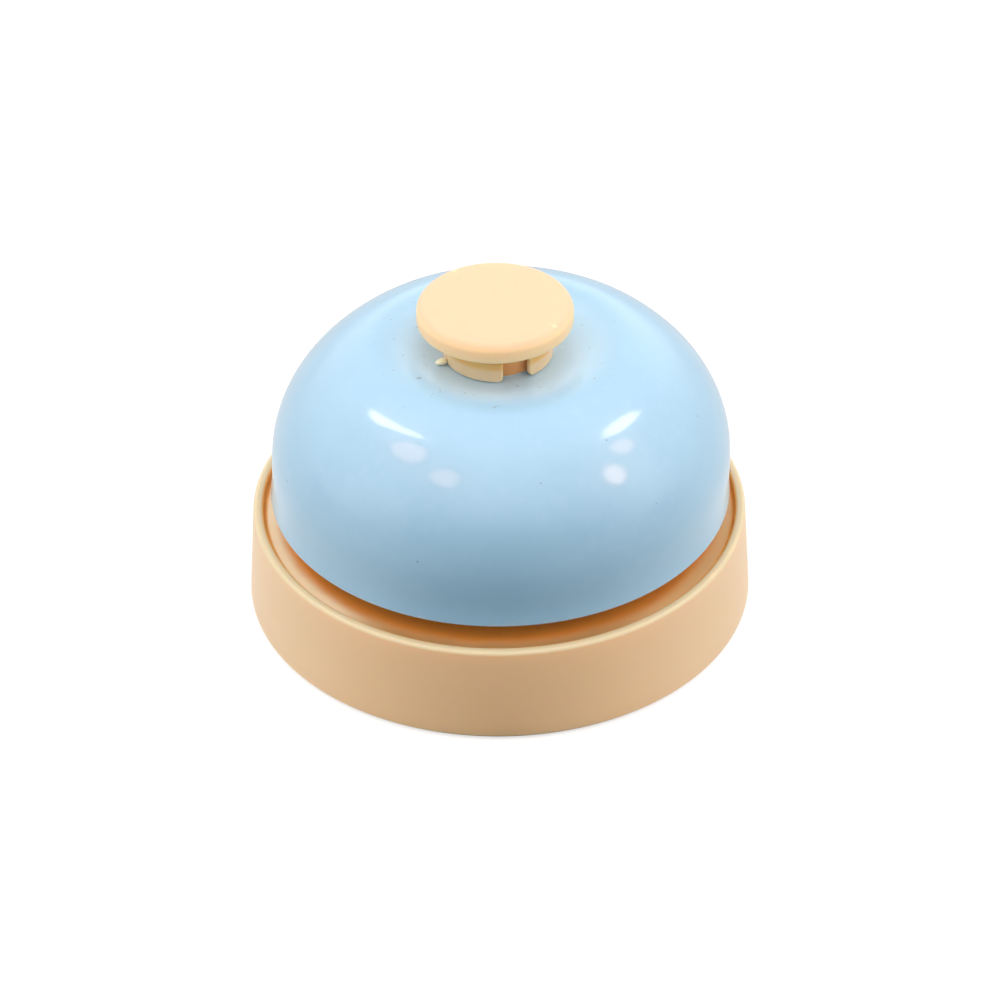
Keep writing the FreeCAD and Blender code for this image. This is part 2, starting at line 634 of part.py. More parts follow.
# ---------------------------------------------------------------------------------------------
# Mounting bracket: folded steel strip, two feet on the deck, two uprights, one bridge
# ---------------------------------------------------------------------------------------------
def mount_bracket():
    body = new_body("mount_bracket")
    sketch = outline_sketch(body, "fold_profile", [
        ("0 - bracket_foot_y", "deck_top_z"),
        ("0 - bracket_inner_y", "deck_top_z"),
        ("0 - bracket_inner_y", "bracket_top_z - sheet"),
        ("bracket_inner_y", "bracket_top_z - sheet"),
        ("bracket_inner_y", "deck_top_z"),
        ("bracket_foot_y", "deck_top_z"),
        ("bracket_foot_y", "deck_top_z + sheet"),
        ("bracket_inner_y + sheet", "deck_top_z + sheet"),
        ("bracket_inner_y + sheet", "bracket_top_z"),
        ("0 - bracket_inner_y - sheet", "bracket_top_z"),
        ("0 - bracket_inner_y - sheet", "deck_top_z + sheet"),
        ("0 - bracket_foot_y", "deck_top_z + sheet"),
    ], plane="YZ_Plane")
    pad(body, "fold", sketch, "2*bracket_half_x", Midplane=True)

    # bends: name, distance from the XZ plane, z, radius
    for name, y_expr, z_expr, radius in (
        ("top_bend_outer", "bracket_inner_y + sheet", "bracket_top_z", "bend_outer"),
        ("top_bend_inner", "bracket_inner_y", "bracket_top_z - sheet", "bend_inner"),
        ("foot_bend_outer", "bracket_inner_y", "deck_top_z", "bend_outer"),
        ("foot_bend_inner", "bracket_inner_y + sheet", "deck_top_z + sheet", "bend_inner"),
    ):
        y, z = val(y_expr), val(z_expr)
        bends = line_edges(body, lambda start, end: (
            abs(start.y - end.y) < 0.02 and abs(start.z - end.z) < 0.02
            and abs(abs(start.y) - y) < 0.02 and abs(start.z - z) < 0.02))
        fillet(body, name, bends, radius)

    # the uprights narrow towards the feet; each cut reaches past the sheet's edge and bottom
    for side, sign, over in (("left", "0 - ", " - 0.5"), ("right", "", " + 0.5")):
        outside = sign + "bracket_half_x" + over
        sketch = outline_sketch(body, side + "_taper_sketch", [
            (outside, "deck_top_z - 1"),
            (sign + "bracket_foot_half_x", "deck_top_z - 1"),
            (sign + "bracket_foot_half_x", "deck_top_z + bracket_foot_rise"),
            (sign + "bracket_half_x", "bracket_taper_z"),
            (outside, "bracket_taper_z"),
        ], plane="XZ_Plane")
        pocket(body, side + "_taper", sketch, "2*bracket_foot_y + 4", Midplane=True)

    sketch = circle_sketch(body, "post_hole_sketch", "0", "0", "post_hole_radius",
                           lift="bracket_top_z")
    pocket(body, "post_hole", sketch, "sheet + 0.5")
    sketch = circle_sketch(body, "pin_hole_sketch", "pivot_x", "pivot_z", "pin_hole_bracket",
                           plane="XZ_Plane")
    pocket(body, "pin_hole", sketch, "2*bracket_foot_y", Midplane=True)
    sketch = circle_sketch(body, "foot_hole_sketch", "0", "bracket_screw_y",
                           "bracket_hole_radius", lift="deck_top_z + sheet")
    hole = pocket(body, "foot_hole", sketch, "sheet + 0.5")
    mirror_y(body, "foot_hole_pair", hole)

    corners = line_edges(body, lambda start, end: (
        abs(start.x - end.x) < 1e-6 and abs(start.y - end.y) < 1e-6
        and abs(abs(start.x) - dims["bracket_foot_half_x"]) < 1e-3
        and abs(abs(start.y) - dims["bracket_foot_y"]) < 1e-3))
    fillet(body, "foot_corners", corners, "foot_corner_round")
    return body


# ---------------------------------------------------------------------------------------------
# Hollow threaded post: guides the plunger, holds the return spring, carries dome and collar
# ---------------------------------------------------------------------------------------------
def post_tube():
    body = new_body("post_tube")
    revolve(body, "post_turned", [
        ("guide_radius", "post_low_z"),
        ("post_radius - post_chamfer", "post_low_z"),
        ("post_radius", "post_low_z + post_chamfer"),
        ("post_radius", "post_top_z - post_chamfer"),
        ("post_radius - post_chamfer", "post_top_z"),
        ("spring_pocket_radius", "post_top_z"),
        ("spring_pocket_radius", "spring_seat_z"),
        ("guide_radius", "spring_seat_z"),
    ])
    # the thread is a run of closed ring grooves
    ring = groove(body, "thread_groove", [
        ("post_radius + thread_over", "post_low_z + thread_start"),
        ("post_radius - post_root", "post_low_z + thread_start + 0.5*post_pitch"),
        ("post_radius + thread_over", "post_low_z + thread_start - thread_land + post_pitch"),
    ])
    groove_count = 13
    pattern = body.newObject("PartDesign::LinearPattern", "thread_run")
    pattern.Originals = [ring]
    pattern.Direction = (origin_feature(body, "Z_Axis"), [""])
    drive(pattern, Length="%d*post_pitch" % (groove_count - 1))
    pattern.Occurrences = groove_count
    body.Tip = pattern
    doc.recompute()
    return body


# ---------------------------------------------------------------------------------------------
# Nuts and washers on the post
# ---------------------------------------------------------------------------------------------
def hex_nut(name, low):
    """Nut with two flats facing front and back, its lower face at low."""
    body = new_body(name)
    # the corner radius is the width across flats over the square root of 3
    corner, half_corner = "0.57735027*nut_flats", "0.5*nut_flats*0.57735027"
    sketch = outline_sketch(body, name + "_hex", [
        (half_corner, "0 - 0.5*nut_flats"),
        (corner, "0"),
        (half_corner, "0.5*nut_flats"),
        ("0 - " + half_corner, "0.5*nut_flats"),
        ("0 - " + corner, "0"),
        ("0 - " + half_corner, "0 - 0.5*nut_flats"),
    ], lift=low)
    pad(body, name + "_blank", sketch, "nut_height")
    sketch = circle_sketch(body, name + "_bore_sketch", "0", "0", "post_radius", lift=low)
    pocket(body, name + "_bore", sketch, "nut_height", Reversed=True)
    top = low + " + nut_height"
    for tag, face_z, side_z in (
        ("low", low, low + " + nut_chamfer_height"),
        ("top", top, top + " - nut_chamfer_height"),
    ):
        groove(body, name + "_chamfer_" + tag, [
            ("nut_flat_radius", face_z),
            ("nut_chamfer_outer", face_z),
            ("nut_chamfer_outer", side_z),
        ])
    return body


def ring_points(inner, outer, low, high):
    """Rectangular profile of a flat ring."""
    return [(inner, low), (outer, low), (outer, high), (inner, high)]


def lock_washer():
    """Spring washer on the bridge, slit on its +X side."""
    body = new_body("lock_washer")
    top = "bracket_top_z + lock_washer_height"
    revolve(body, "lock_ring",
            ring_points("post_hole_radius", "lock_washer_radius", "bracket_top_z", top))
    sketch = outline_sketch(body, "lock_slit_sketch", [
        ("3", "0 - 0.5*lock_washer_slit"),
        ("lock_washer_radius + 1", "0 - 0.5*lock_washer_slit"),
        ("lock_washer_radius + 1", "0.5*lock_washer_slit"),
        ("3", "0.5*lock_washer_slit"),
    ], lift=top + " + 0.2")
    pocket(body, "lock_slit", sketch, "lock_washer_height + 0.6")
    return body


def flat_washer(name, outer, low, high):
    body = new_body(name)
    revolve(body, name + "_ring", ring_points("post_hole_radius", outer, low, high))
    return body


# ---------------------------------------------------------------------------------------------
# Bell dome: pressed steel, near-vertical wall, round shoulder, shallow dish round the post
# ---------------------------------------------------------------------------------------------
# shoulder: angles in radians on a slightly squared ellipse, and its two exponents
SHOULDER_ANGLES = (0.10, 0.24, 0.38, 0.52, 0.64)
SHOULDER_RADIUS_POWER = 1.0116
SHOULDER_HEIGHT_POWER = 0.94
# run up to the crest: distance outside the crest, depth below it
CREST_STATIONS = ((7.9, 2.91), (5.6, 1.56), (3.5, 0.63), (1.6, 0.135), (0.0, 0.0))
# dish: fractions of the way from crest to land, along a half cosine wave
DISH_FRACTIONS = (0.18, 0.36, 0.54, 0.72, 0.88)


def dome_outer_points():
    """(radius, z) along the outside, from above the mouth to just before the land."""
    mouth_z = dims["dome_mouth_z"]
    points = [
        (dims["dome_mouth_radius"] - 0.17, mouth_z + 1.6),
        (dims["dome_radius"], mouth_z + 3.6),
    ]
    for angle in SHOULDER_ANGLES:
        points.append((
            dims["dome_radius"] * math.cos(angle) ** SHOULDER_RADIUS_POWER,
            dims["dome_mid_z"] + dims["dome_rise"] * math.sin(angle) ** SHOULDER_HEIGHT_POWER,
        ))
    crest_radius, crest_z = dims["dome_crest_radius"], dims["dome_crest_z"]
    points += [(crest_radius + out, crest_z - drop) for out, drop in CREST_STATIONS]
    span = crest_radius - dims["dome_land_radius"]
    dip = crest_z - dims["dome_land_z"]
    for part in DISH_FRACTIONS:
        z = dims["dome_land_z"] + dip * 0.5 * (1 + math.cos(math.pi * part))
        points.append((crest_radius - span * part, z))
    return points


def bell_dome():
    outer = dome_outer_points()
    mouth = (dims["dome_mouth_radius"], dims["dome_mouth_z"])
    land = (dims["dome_land_radius"], dims["dome_land_z"])
    curve = spline([mouth] + outer + [land], (-0.10, 1), (-1, 0))
    # the inside lies one sheet thickness off the outside, square to it
    inner = []
    for x, y in outer:
        along = curve.tangent(curve.parameter(Vector(x, y, 0)))[0]
        inner.append((x - along.y * dims["dome_sheet"], y + along.x * dims["dome_sheet"]))
    body = new_body("bell_dome")
    revolve(body, "dome_pressing", [
        ("dome_mouth_radius", "dome_mouth_z"),
        ("dome_land_radius", "dome_land_z"),
        ("post_hole_radius", "dome_land_z"),
        ("post_hole_radius", "dome_land_z - dome_sheet"),
        ("dome_land_radius", "dome_land_z - dome_sheet"),
        ("dome_mouth_radius - dome_sheet", "dome_mouth_z"),
    ], {
        0: (outer, (-0.10, 1), (-1, 0)),
        4: (inner[::-1], (1, 0), (0.10, -1)),
    })
    lip = ring_edges(body, ("dome_mouth_radius", "dome_mouth_z"),
                     ("dome_mouth_radius - dome_sheet", "dome_mouth_z"))
    fillet(body, "lip_rounding", lip, "dome_lip_round")
    return body


# ---------------------------------------------------------------------------------------------
# Collar nut: barrel on the post, with a slotted skirt that reaches down to the dish
# ---------------------------------------------------------------------------------------------
def slot_sketch(body):
    """One slot: an arc on the barrel, two radial sides and a chord outside the skirt."""
    sketch = new_sketch(body, "slot_sketch", "XY_Plane", "collar_top_z + 0.1")
    near, far = dims["collar_barrel"], dims["collar_skirt_outer"] + 1.0
    middle = math.radians(dims["slot_start_angle"])
    half = math.radians(dims["slot_half_angle"])
    first, last = middle - half, middle + half

    def at(radius, angle):
        return Vector(radius * math.cos(angle), radius * math.sin(angle), 0)

    side_one = sketch.addGeometry(Part.LineSegment(at(near, first), at(far, first)), False)
    chord = sketch.addGeometry(Part.LineSegment(at(far, first), at(far, last)), False)
    side_two = sketch.addGeometry(Part.LineSegment(at(far, last), at(near, last)), False)
    barrel = Part.Circle(Vector(0, 0, 0), Vector(0, 0, 1), near)
    arc = sketch.addGeometry(Part.ArcOfCircle(barrel, first, last), False)
    join(sketch, side_one, 2, chord, 1)
    join(sketch, chord, 2, side_two, 1)
    join(sketch, side_two, 2, arc, 2)
    join(sketch, arc, 1, side_one, 1)
    join(sketch, arc, 3, -1, 1)
    set_radius(sketch, arc, "collar_barrel")
    return sketch


def collar_nut():
    body = new_body("collar_nut")
    revolve(body, "collar_turned", [
        ("post_radius", "dome_land_z + soft_height"),
        ("collar_barrel", "dome_land_z + soft_height"),
        ("collar_barrel", "collar_web_z"),
        ("collar_skirt_inner", "collar_web_z"),
        ("collar_skirt_inner", "collar_skirt_z"),
        ("collar_skirt_outer", "collar_skirt_z"),
        ("collar_skirt_outer", "collar_top_z"),
        ("post_radius", "collar_top_z"),
    ])
    fillet(body, "collar_rounding", ring_edges(body, ("collar_skirt_outer", "collar_top_z")),
           "collar_round")
    slot = pocket(body, "skirt_slot", slot_sketch(body), "collar_top_z - dome_land_z + 0.2")
    repeat_round(body, "skirt_slots", slot, 3)
    return body


# ---------------------------------------------------------------------------------------------
# Button, plunger rod, stop clip and return spring
# ---------------------------------------------------------------------------------------------
def button_cap():
    body = new_body("button_cap")
    # rounded top edge: a slightly squared quarter ellipse, angles in degrees
    edge_width = val("button_radius - button_flat_radius")
    edge_height = val("button_top_z - button_side_z")
    top_edge = []
    for degrees in (20, 40, 60, 78):
        angle = math.radians(degrees)
        top_edge.append((
            dims["button_flat_radius"] + edge_width * math.sin(angle) ** 0.95,
            dims["button_side_z"] + edge_height * math.cos(angle) ** 0.95,
        ))
    # one station on the small curve of the lower edge
    low_edge = [(dims["button_radius"] - 0.07, dims["button_side_low_z"] - 0.21)]
    revolve(body, "button_moulding", [
        ("0", "button_top_z"),
        ("button_flat_radius", "button_top_z"),
        ("button_radius", "button_side_z"),
        ("button_radius", "button_side_low_z"),
        ("button_under_radius", "button_under_z"),
        ("button_hollow_outer", "button_under_z"),
        ("button_hollow_outer", "button_hollow_z"),
        ("button_hollow_inner", "button_hollow_z"),
        ("button_hollow_inner", "button_under_z"),
        ("button_boss_radius", "button_under_z"),
        ("button_boss_radius", "button_boss_z"),
        ("rod_radius", "button_boss_z"),
        ("rod_radius", "rod_top_z"),
        ("0", "rod_top_z"),
    ], {
        1: (top_edge, (1, 0), (0, -1)),
        3: (low_edge, (0, -1), (-1, -0.35)),
    })
    return body


def plunger_rod():
    body = new_body("plunger_rod")
    radius = dims["rod_radius"]
    tip = [
        (radius * math.sin(math.radians(a)),
         dims["rod_tip_z"] + radius * (1 - math.cos(math.radians(a))))
        for a in (15, 30, 45, 60, 75)
    ]
    revolve(body, "rod_turned", [
        ("0", "rod_tip_z"),
        ("rod_radius", "rod_tip_z + rod_radius"),
        ("rod_radius", "clip_low_z"),
        ("clip_groove_radius", "clip_low_z"),
        ("clip_groove_radius", "clip_low_z + clip_height"),
        ("rod_radius", "clip_low_z + clip_height"),
        ("rod_radius", "rod_top_z - rod_chamfer"),
        ("rod_radius - rod_chamfer", "rod_top_z"),
        ("0", "rod_top_z"),
    ], {0: (tip, (1, 0), (0, 1))})
    return body


def stop_clip():
    """E-clip in the rod's groove, open towards +X."""
    body = new_body("stop_clip")
    revolve(body, "clip_ring", ring_points(
        "clip_groove_radius", "clip_radius", "clip_low_z", "clip_low_z + clip_height"))
    sketch = outline_sketch(body, "clip_mouth_sketch", [
        ("clip_mouth_x", "0 - 0.86*clip_groove_radius"),
        ("clip_radius + 0.5", "0 - 1.05*clip_groove_radius"),
        ("clip_radius + 0.5", "1.05*clip_groove_radius"),
        ("clip_mouth_x", "0.86*clip_groove_radius"),
    ], lift=CLIP_PLANE)
    pocket(body, "clip_mouth", sketch, "clip_height + 0.3")
    # two relief notches leave the three inner lugs
    for k, sign in enumerate(("", "0 - ")):
        sketch = circle_sketch(body, "clip_notch_sketch_%d" % k, "0 - clip_notch_x",
                               sign + "clip_notch_y", "clip_notch_radius", lift=CLIP_PLANE)
        pocket(body, "clip_notch_%d" % k, sketch, "clip_height + 0.3")
    return body


def coil(mean, wire, bottom_z, top_z, turns):
    """Compression spring with closed ends, as one round-wire solid."""
    steps = int(turns * 20)
    closed_turns = 0.9  # at each end
    closed_pitch = 2 * wire * 1.06
    low = bottom_z + wire
    height = top_z - wire - low
    closed_rise = closed_pitch * closed_turns
    points = []
    for i in range(steps + 1):
        turn = turns * i / steps
        if turn < closed_turns:
            rise = closed_pitch * turn
        elif turn > turns - closed_turns:
            rise = height - closed_pitch * (turns - turn)
        else:
            share = (turn - closed_turns) / (turns - 2 * closed_turns)
            rise = closed_rise + (height - 2 * closed_rise) * share
        angle = 2 * math.pi * turn
        points.append(Vector(mean * math.cos(angle), mean * math.sin(angle), low + rise))
    path = Part.BSplineCurve()
    path.interpolate(points)
    spine = Part.Wire(path.toShape())
    along = path.tangent(path.FirstParameter)[0]
    section = Part.Wire(Part.Circle(points[0], along, wire).toShape())
    return spine.makePipeShell([section], True, True)


def return_spring():
    spring = doc.addObject("Part::Feature", "return_spring_wire")
    spring.Shape = coil(
        mean=dims["spring_mean"],
        wire=dims["spring_wire"],
        bottom_z=dims["spring_seat_z"],
        top_z=dims["button_boss_z"],
        turns=dims["spring_turns"],
    )
    spring.Label = "return_spring"
    return spring


# ---------------------------------------------------------------------------------------------
# Hammer: folded steel lever on a pin through the bracket, with a round steel head at its end
# ---------------------------------------------------------------------------------------------
def ear_sketch(body, name, lift):
    """Outline of an ear: round below the pin, straight up into the web."""
    sketch = new_sketch(body, name, "XZ_Plane", lift)
    x, z, radius = dims["pivot_x"], dims["pivot_z"], dims["ear_radius"]
    top = val(ARM_TOP + " - 0.5*arm_sheet")
    top_left, top_right = Vector(x - radius, top, 0), Vector(x + radius, top, 0)
    low_left, low_right = Vector(x - radius, z, 0), Vector(x + radius, z, 0)
    left = sketch.addGeometry(Part.LineSegment(top_left, low_left), False)
    circle = Part.Circle(Vector(x, z, 0), Vector(0, 0, 1), radius)
    arc = sketch.addGeometry(Part.ArcOfCircle(circle, math.pi, 2 * math.pi), False)
    right = sketch.addGeometry(Part.LineSegment(low_right, top_right), False)
    lid = sketch.addGeometry(Part.LineSegment(top_right, top_left), False)
    join(sketch, left, 2, arc, 1)
    join(sketch, arc, 2, right, 1)
    join(sketch, right, 2, lid, 1)
    join(sketch, lid, 2, left, 1)
    sketch.addConstraint(Sketcher.Constraint("Vertical", left))
    sketch.addConstraint(Sketcher.Constraint("Vertical", right))
    sketch.addConstraint(Sketcher.Constraint("Horizontal", lid))
    pin_point(sketch, arc, 3, "pivot_x", "pivot_z")
    set_radius(sketch, arc, "ear_radius")
    return sketch


def hammer_arm():
    body = new_body("hammer_arm")
    sketch = outline_sketch(body, "lever_outline", [
        ("pivot_x - arm_tail", "0 - arm_half_width"),
        ("pivot_x + arm_shoulder", "0 - arm_half_width"),
        ("pivot_x + arm_neck", "0 - arm_tip_half_width"),
        ("pivot_x + arm_nose", "0 - arm_tip_half_width"),
        ("pivot_x + arm_nose", "arm_tip_half_width"),
        ("pivot_x + arm_neck", "arm_tip_half_width"),
        ("pivot_x + arm_shoulder", "arm_half_width"),
        ("pivot_x - arm_tail", "arm_half_width"),
    ], lift=ARM_TOP + " - arm_sheet")
    pad(body, "lever_web", sketch, "arm_sheet")
    # the lift runs towards -Y and each ear grows from its sketch towards +Y
    for side, lift in (("near", "arm_half_width"), ("far", "arm_sheet - arm_half_width")):
        sketch = ear_sketch(body, side + "_ear_sketch", lift)
        pad(body, side + "_ear", sketch, "arm_sheet", Reversed=True)
    sketch = circle_sketch(body, "arm_pin_sketch", "pivot_x", "pivot_z", "pin_hole_arm",
                           plane="XZ_Plane")
    pocket(body, "arm_pin_hole", sketch, "2*arm_half_width + 2", Midplane=True)
    sketch = circle_sketch(body, "head_hole_sketch", "pivot_x + head_reach", "0",
                           "rivet_radius", lift=ARM_TOP + " + 0.1")
    pocket(body, "head_hole", sketch, "arm_sheet + 0.2")
    for name, x_expr, radius in (
        ("nose_corners", "pivot_x + arm_nose", "0.9*arm_tip_half_width"),
        ("tail_corners", "pivot_x - arm_tail", "arm_tail_round"),
    ):
        x = val(x_expr)
        corners = line_edges(body, lambda start, end: (
            abs(start.z - end.z) > 0.5
            and abs(start.x - x) < 1e-3 and abs(end.x - x) < 1e-3))
        fillet(body, name, corners, radius)
    return body


def hammer_head():
    """Head turned about its own vertical axis, then moved out along the arm."""
    body = new_body("hammer_head")
    crown_z = val(ARM_TOP + " + head_skirt")
    radius = dims["head_radius"]
    crown = [
        (radius * math.cos(math.radians(a)), crown_z + radius * math.sin(math.radians(a)))
        for a in (15, 30, 45, 60, 75)
    ]
    revolve(body, "head_turned", [
        ("rivet_radius", ARM_TOP),
        ("head_radius - head_chamfer", ARM_TOP),
        ("head_radius", ARM_TOP + " + head_chamfer"),
        ("head_radius", ARM_TOP + " + head_skirt"),
        ("0", ARM_TOP + " + head_skirt + head_radius"),
        ("0", ARM_TOP + " + rivet_depth"),
        ("rivet_radius", ARM_TOP + " + rivet_depth"),
    ], {3: (crown, (0, 1), (-1, 0))})
    place_body(body, x="pivot_x + head_reach")
    return body


def head_rivet():
    """Rivet with a round head under the arm and its shank up in the hammer head."""
    body = new_body("head_rivet")
    under = ARM_TOP + " - arm_sheet"
    round_head = [
        (dims["rivet_head_radius"] * math.sin(math.radians(a)),
         val(under) - dims["rivet_head_height"] * math.cos(math.radians(a)))
        for a in (20, 40, 60, 76)
    ]
    revolve(body, "rivet_turned", [
        ("0", under + " - rivet_head_height"),
        ("rivet_head_radius", under),
        ("rivet_radius", under),
        ("rivet_radius", ARM_TOP + " + rivet_depth"),
        ("0", ARM_TOP + " + rivet_depth"),
    ], {0: (round_head, (1, 0), (0.2, 1))})
    place_body(body, x="pivot_x + head_reach")
    return body


# ---------------------------------------------------------------------------------------------
# Pivot pin, its clip and two spacers: turned about the Y axis, then moved to the pivot.
# Profile points are (y, radius).
# ---------------------------------------------------------------------------------------------
CLIP_NEAR_Y = BRACKET_FACE + " + pivot_clip_gap"
CLIP_FAR_Y = CLIP_NEAR_Y + " + pivot_clip_sheet"


def turn_about_y(body, name, points):
    revolve(body, name, points, plane="YZ_Plane", axis="H_Axis")


def move_to_pivot(body):
    place_body(body, x="pivot_x", z="pivot_z")


def pivot_pin():
    """Pin with its head at the front and its clip groove at the back."""
    body = new_body("pivot_pin")
    front_face = "0 - bracket_inner_y - sheet"
    turn_about_y(body, "pin_turned", [
        (front_face + " - pin_head_height", "0"),
        (front_face + " - pin_head_height", "pin_head_radius"),
        (front_face, "pin_head_radius"),
        (front_face, "pin_radius"),
        (CLIP_NEAR_Y, "pin_radius"),
        (CLIP_NEAR_Y, "0.75*pin_radius"),
        (CLIP_FAR_Y, "0.75*pin_radius"),
        (CLIP_FAR_Y, "pin_radius"),
        ("pin_end_y - pin_chamfer", "pin_radius"),
        ("pin_end_y", "pin_radius - pin_chamfer"),
        ("pin_end_y", "0"),
    ])
    move_to_pivot(body)
    return body


def pivot_clip():
    """Clip in the pin's groove, open downwards."""
    body = new_body("pivot_clip")
    turn_about_y(body, "pivot_clip_ring", [
        (CLIP_NEAR_Y, "0.75*pin_radius"),
        (CLIP_NEAR_Y, "pivot_clip_radius"),
        (CLIP_FAR_Y, "pivot_clip_radius"),
        (CLIP_FAR_Y, "0.75*pin_radius"),
    ])
    sketch = outline_sketch(body, "pivot_clip_mouth_sketch", [
        ("0 - pivot_mouth_low", "0 - pivot_clip_radius - 0.5"),
        ("pivot_mouth_low", "0 - pivot_clip_radius - 0.5"),
        ("pivot_mouth_top", "0 - pivot_mouth_drop"),
        ("0 - pivot_mouth_top", "0 - pivot_mouth_drop"),
    ], plane="XZ_Plane")
    pocket(body, "pivot_clip_mouth", sketch, "2*pin_end_y + 4", Midplane=True)
    move_to_pivot(body)
    return body


def pivot_spacers():
    """Two rings that centre the arm between the uprights."""
    spacers = []
    for side, start, end in (
        ("far", "arm_half_width + spacer_arm_gap", "bracket_inner_y - spacer_bracket_gap"),
        ("near", "0 - bracket_inner_y + spacer_bracket_gap",
         "0 - arm_half_width - spacer_arm_gap"),
    ):
        body = new_body("spacer_" + side)
        turn_about_y(body, "spacer_" + side + "_ring", [
            (start, "pin_hole_arm"),
            (start, "spacer_radius"),
            (end, "spacer_radius"),
            (end, "pin_hole_arm"),
        ])
        move_to_pivot(body)
        spacers.append(body)
    return group_of("pivot_spacers", spacers)


# ---------------------------------------------------------------------------------------------
# Build, check and export.  Each piece's Label is its file name.
# ---------------------------------------------------------------------------------------------
pieces = [
    base_cup(),
    bottom_cover(),
    foot_pads(),
    cover_screws(),
    bracket_screws(),
    mount_bracket(),
    post_tube(),
    hex_nut("post_lower_nut", "bracket_top_z - sheet - nut_height"),
    hex_nut("dome_support_nut", "bracket_top_z + lock_washer_height"),
    lock_washer(),
    flat_washer("fibre_washer", "fibre_radius",
                "dome_land_z - dome_sheet - fibre_height", "dome_land_z - dome_sheet"),
    flat_washer("soft_washer", "soft_radius", "dome_land_z", "dome_land_z + soft_height"),
    bell_dome(),
    collar_nut(),
    button_cap(),
    plunger_rod(),
    stop_clip(),
    return_spring(),
    hammer_arm(),
    hammer_head(),
    head_rivet(),
    pivot_pin(),
    pivot_clip(),
    pivot_spacers(),
]
doc.recompute()
failed = [obj.Name for obj in doc.Objects if "Invalid" in obj.State or "Error" in obj.State]
if failed:
    raise RuntimeError("failed objects: " + ", ".join(failed))

os.makedirs("parts", exist_ok=True)
for piece in pieces:
    shape = piece.Shape
    if shape.isNull() or not shape.isValid():
        raise RuntimeError(piece.Label + " has no valid shape")
    if not shape.Solids:
        raise RuntimeError(piece.Label + " has no solid")
    solids = shape.Solids
    result = solids[0] if len(solids) == 1 else Part.makeCompound(solids)
    result.exportStep(os.path.join("parts", piece.Label + ".step"))
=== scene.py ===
"""A push-button desk bell: a blue pressed dome over a cream cup, with a collar nut and button on top.

The bell stands on z = 0 with its post on the z axis, and the camera looks from the front (-Y)
with +X to the right. Shapes are in millimetres and are scaled by MM as vertices are made.
"""
import math

import bmesh
import bpy
import numpy as np
from mathutils import Matrix, Vector


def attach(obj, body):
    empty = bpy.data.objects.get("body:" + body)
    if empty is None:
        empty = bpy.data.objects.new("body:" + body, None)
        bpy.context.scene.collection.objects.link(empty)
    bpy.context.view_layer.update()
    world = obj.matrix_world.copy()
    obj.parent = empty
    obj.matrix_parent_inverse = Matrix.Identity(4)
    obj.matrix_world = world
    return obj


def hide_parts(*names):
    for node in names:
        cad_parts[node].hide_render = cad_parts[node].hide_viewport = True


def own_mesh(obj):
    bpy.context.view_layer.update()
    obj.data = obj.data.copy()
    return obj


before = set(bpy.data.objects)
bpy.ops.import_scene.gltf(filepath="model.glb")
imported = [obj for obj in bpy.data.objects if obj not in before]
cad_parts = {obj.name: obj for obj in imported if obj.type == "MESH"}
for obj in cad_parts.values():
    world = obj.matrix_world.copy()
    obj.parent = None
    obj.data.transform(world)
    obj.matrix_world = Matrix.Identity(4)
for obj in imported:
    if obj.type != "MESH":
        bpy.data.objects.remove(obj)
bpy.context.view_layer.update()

MM = 0.001
DEGREES = 180 / math.pi

# Dome (radius or height of its outer face)
DOME_WALL = 0.80
MOUTH_RADIUS, MOUTH_Z = 34.10, 17.85
SIDE_RADIUS, SIDE_TOP_Z = 33.85, 23.65
SHOULDER_RISE = 24.20
CREST_RADIUS, CREST_Z = 16.70, 43.50
DISH_RADIUS, DISH_Z = 7.30, 41.80
DOME_HOLE = 5.08

# Base cup
DECK_UNDER = 9.40
EMBED = 0.02  # how far bosses and ribs reach into the deck
BOSS_RADIUS, BOSS_BORE = 3.0, 1.2
INNER_BOSS_Y = 12.7
OUTER_BOSS_RING = 24
RIB_BITE = 0.1  # how far a rib runs into a boss
RIB_HALF = 0.6
RIB_START, RIB_END, RIB_BOTTOM = 4.6, 36.0, 5.0

# Collar nut
COLLAR_TOP = 45.30
SEGMENT_SPAN = 90.0
SEGMENT_PITCH = 120.0
FIRST_SEGMENT = -175.0

# Return spring
SPRING_FOOT, SPRING_LENGTH = 35.9, 9.5

# Foot pads
PAD_COUNT, PAD_RING = 4, 29


# ---------------------------------------------------------------------------------------
# Profiles: lists of (radius, height)
# ---------------------------------------------------------------------------------------
def spline(points, samples, start, end):
    """Smooth curve through the points, clamped to the given end directions."""
    points = np.array(points, float)
    along = np.r_[0, np.cumsum(np.linalg.norm(np.diff(points, axis=0), axis=1))]
    count = len(points)
    gap = np.diff(along)
    slope = np.diff(points, axis=0) / gap[:, None]
    start, end = np.array(start, float), np.array(end, float)
    system = np.zeros((count, count))
    goal = np.zeros((count, 2))
    for i in range(1, count - 1):
        system[i, i - 1:i + 2] = gap[i - 1], 2 * (gap[i - 1] + gap[i]), gap[i]
        goal[i] = 6 * (slope[i] - slope[i - 1])
    system[0, :2] = 2 * gap[0], gap[0]
    goal[0] = 6 * (slope[0] - start / np.linalg.norm(start))
    system[-1, -2:] = gap[-1], 2 * gap[-1]
    goal[-1] = 6 * (end / np.linalg.norm(end) - slope[-1])
    bend = np.linalg.solve(system, goal)
    curve = []
    for place in np.linspace(0, along[-1], samples):
        i = min(max(np.searchsorted(along, place) - 1, 0), count - 2)
        ahead, behind = along[i + 1] - place, place - along[i]
        curve.append(tuple(
            bend[i] * ahead**3 / (6 * gap[i])
            + bend[i + 1] * behind**3 / (6 * gap[i])
            + (points[i] / gap[i] - bend[i] * gap[i] / 6) * ahead
            + (points[i + 1] / gap[i] - bend[i + 1] * gap[i] / 6) * behind
        ))
    return curve


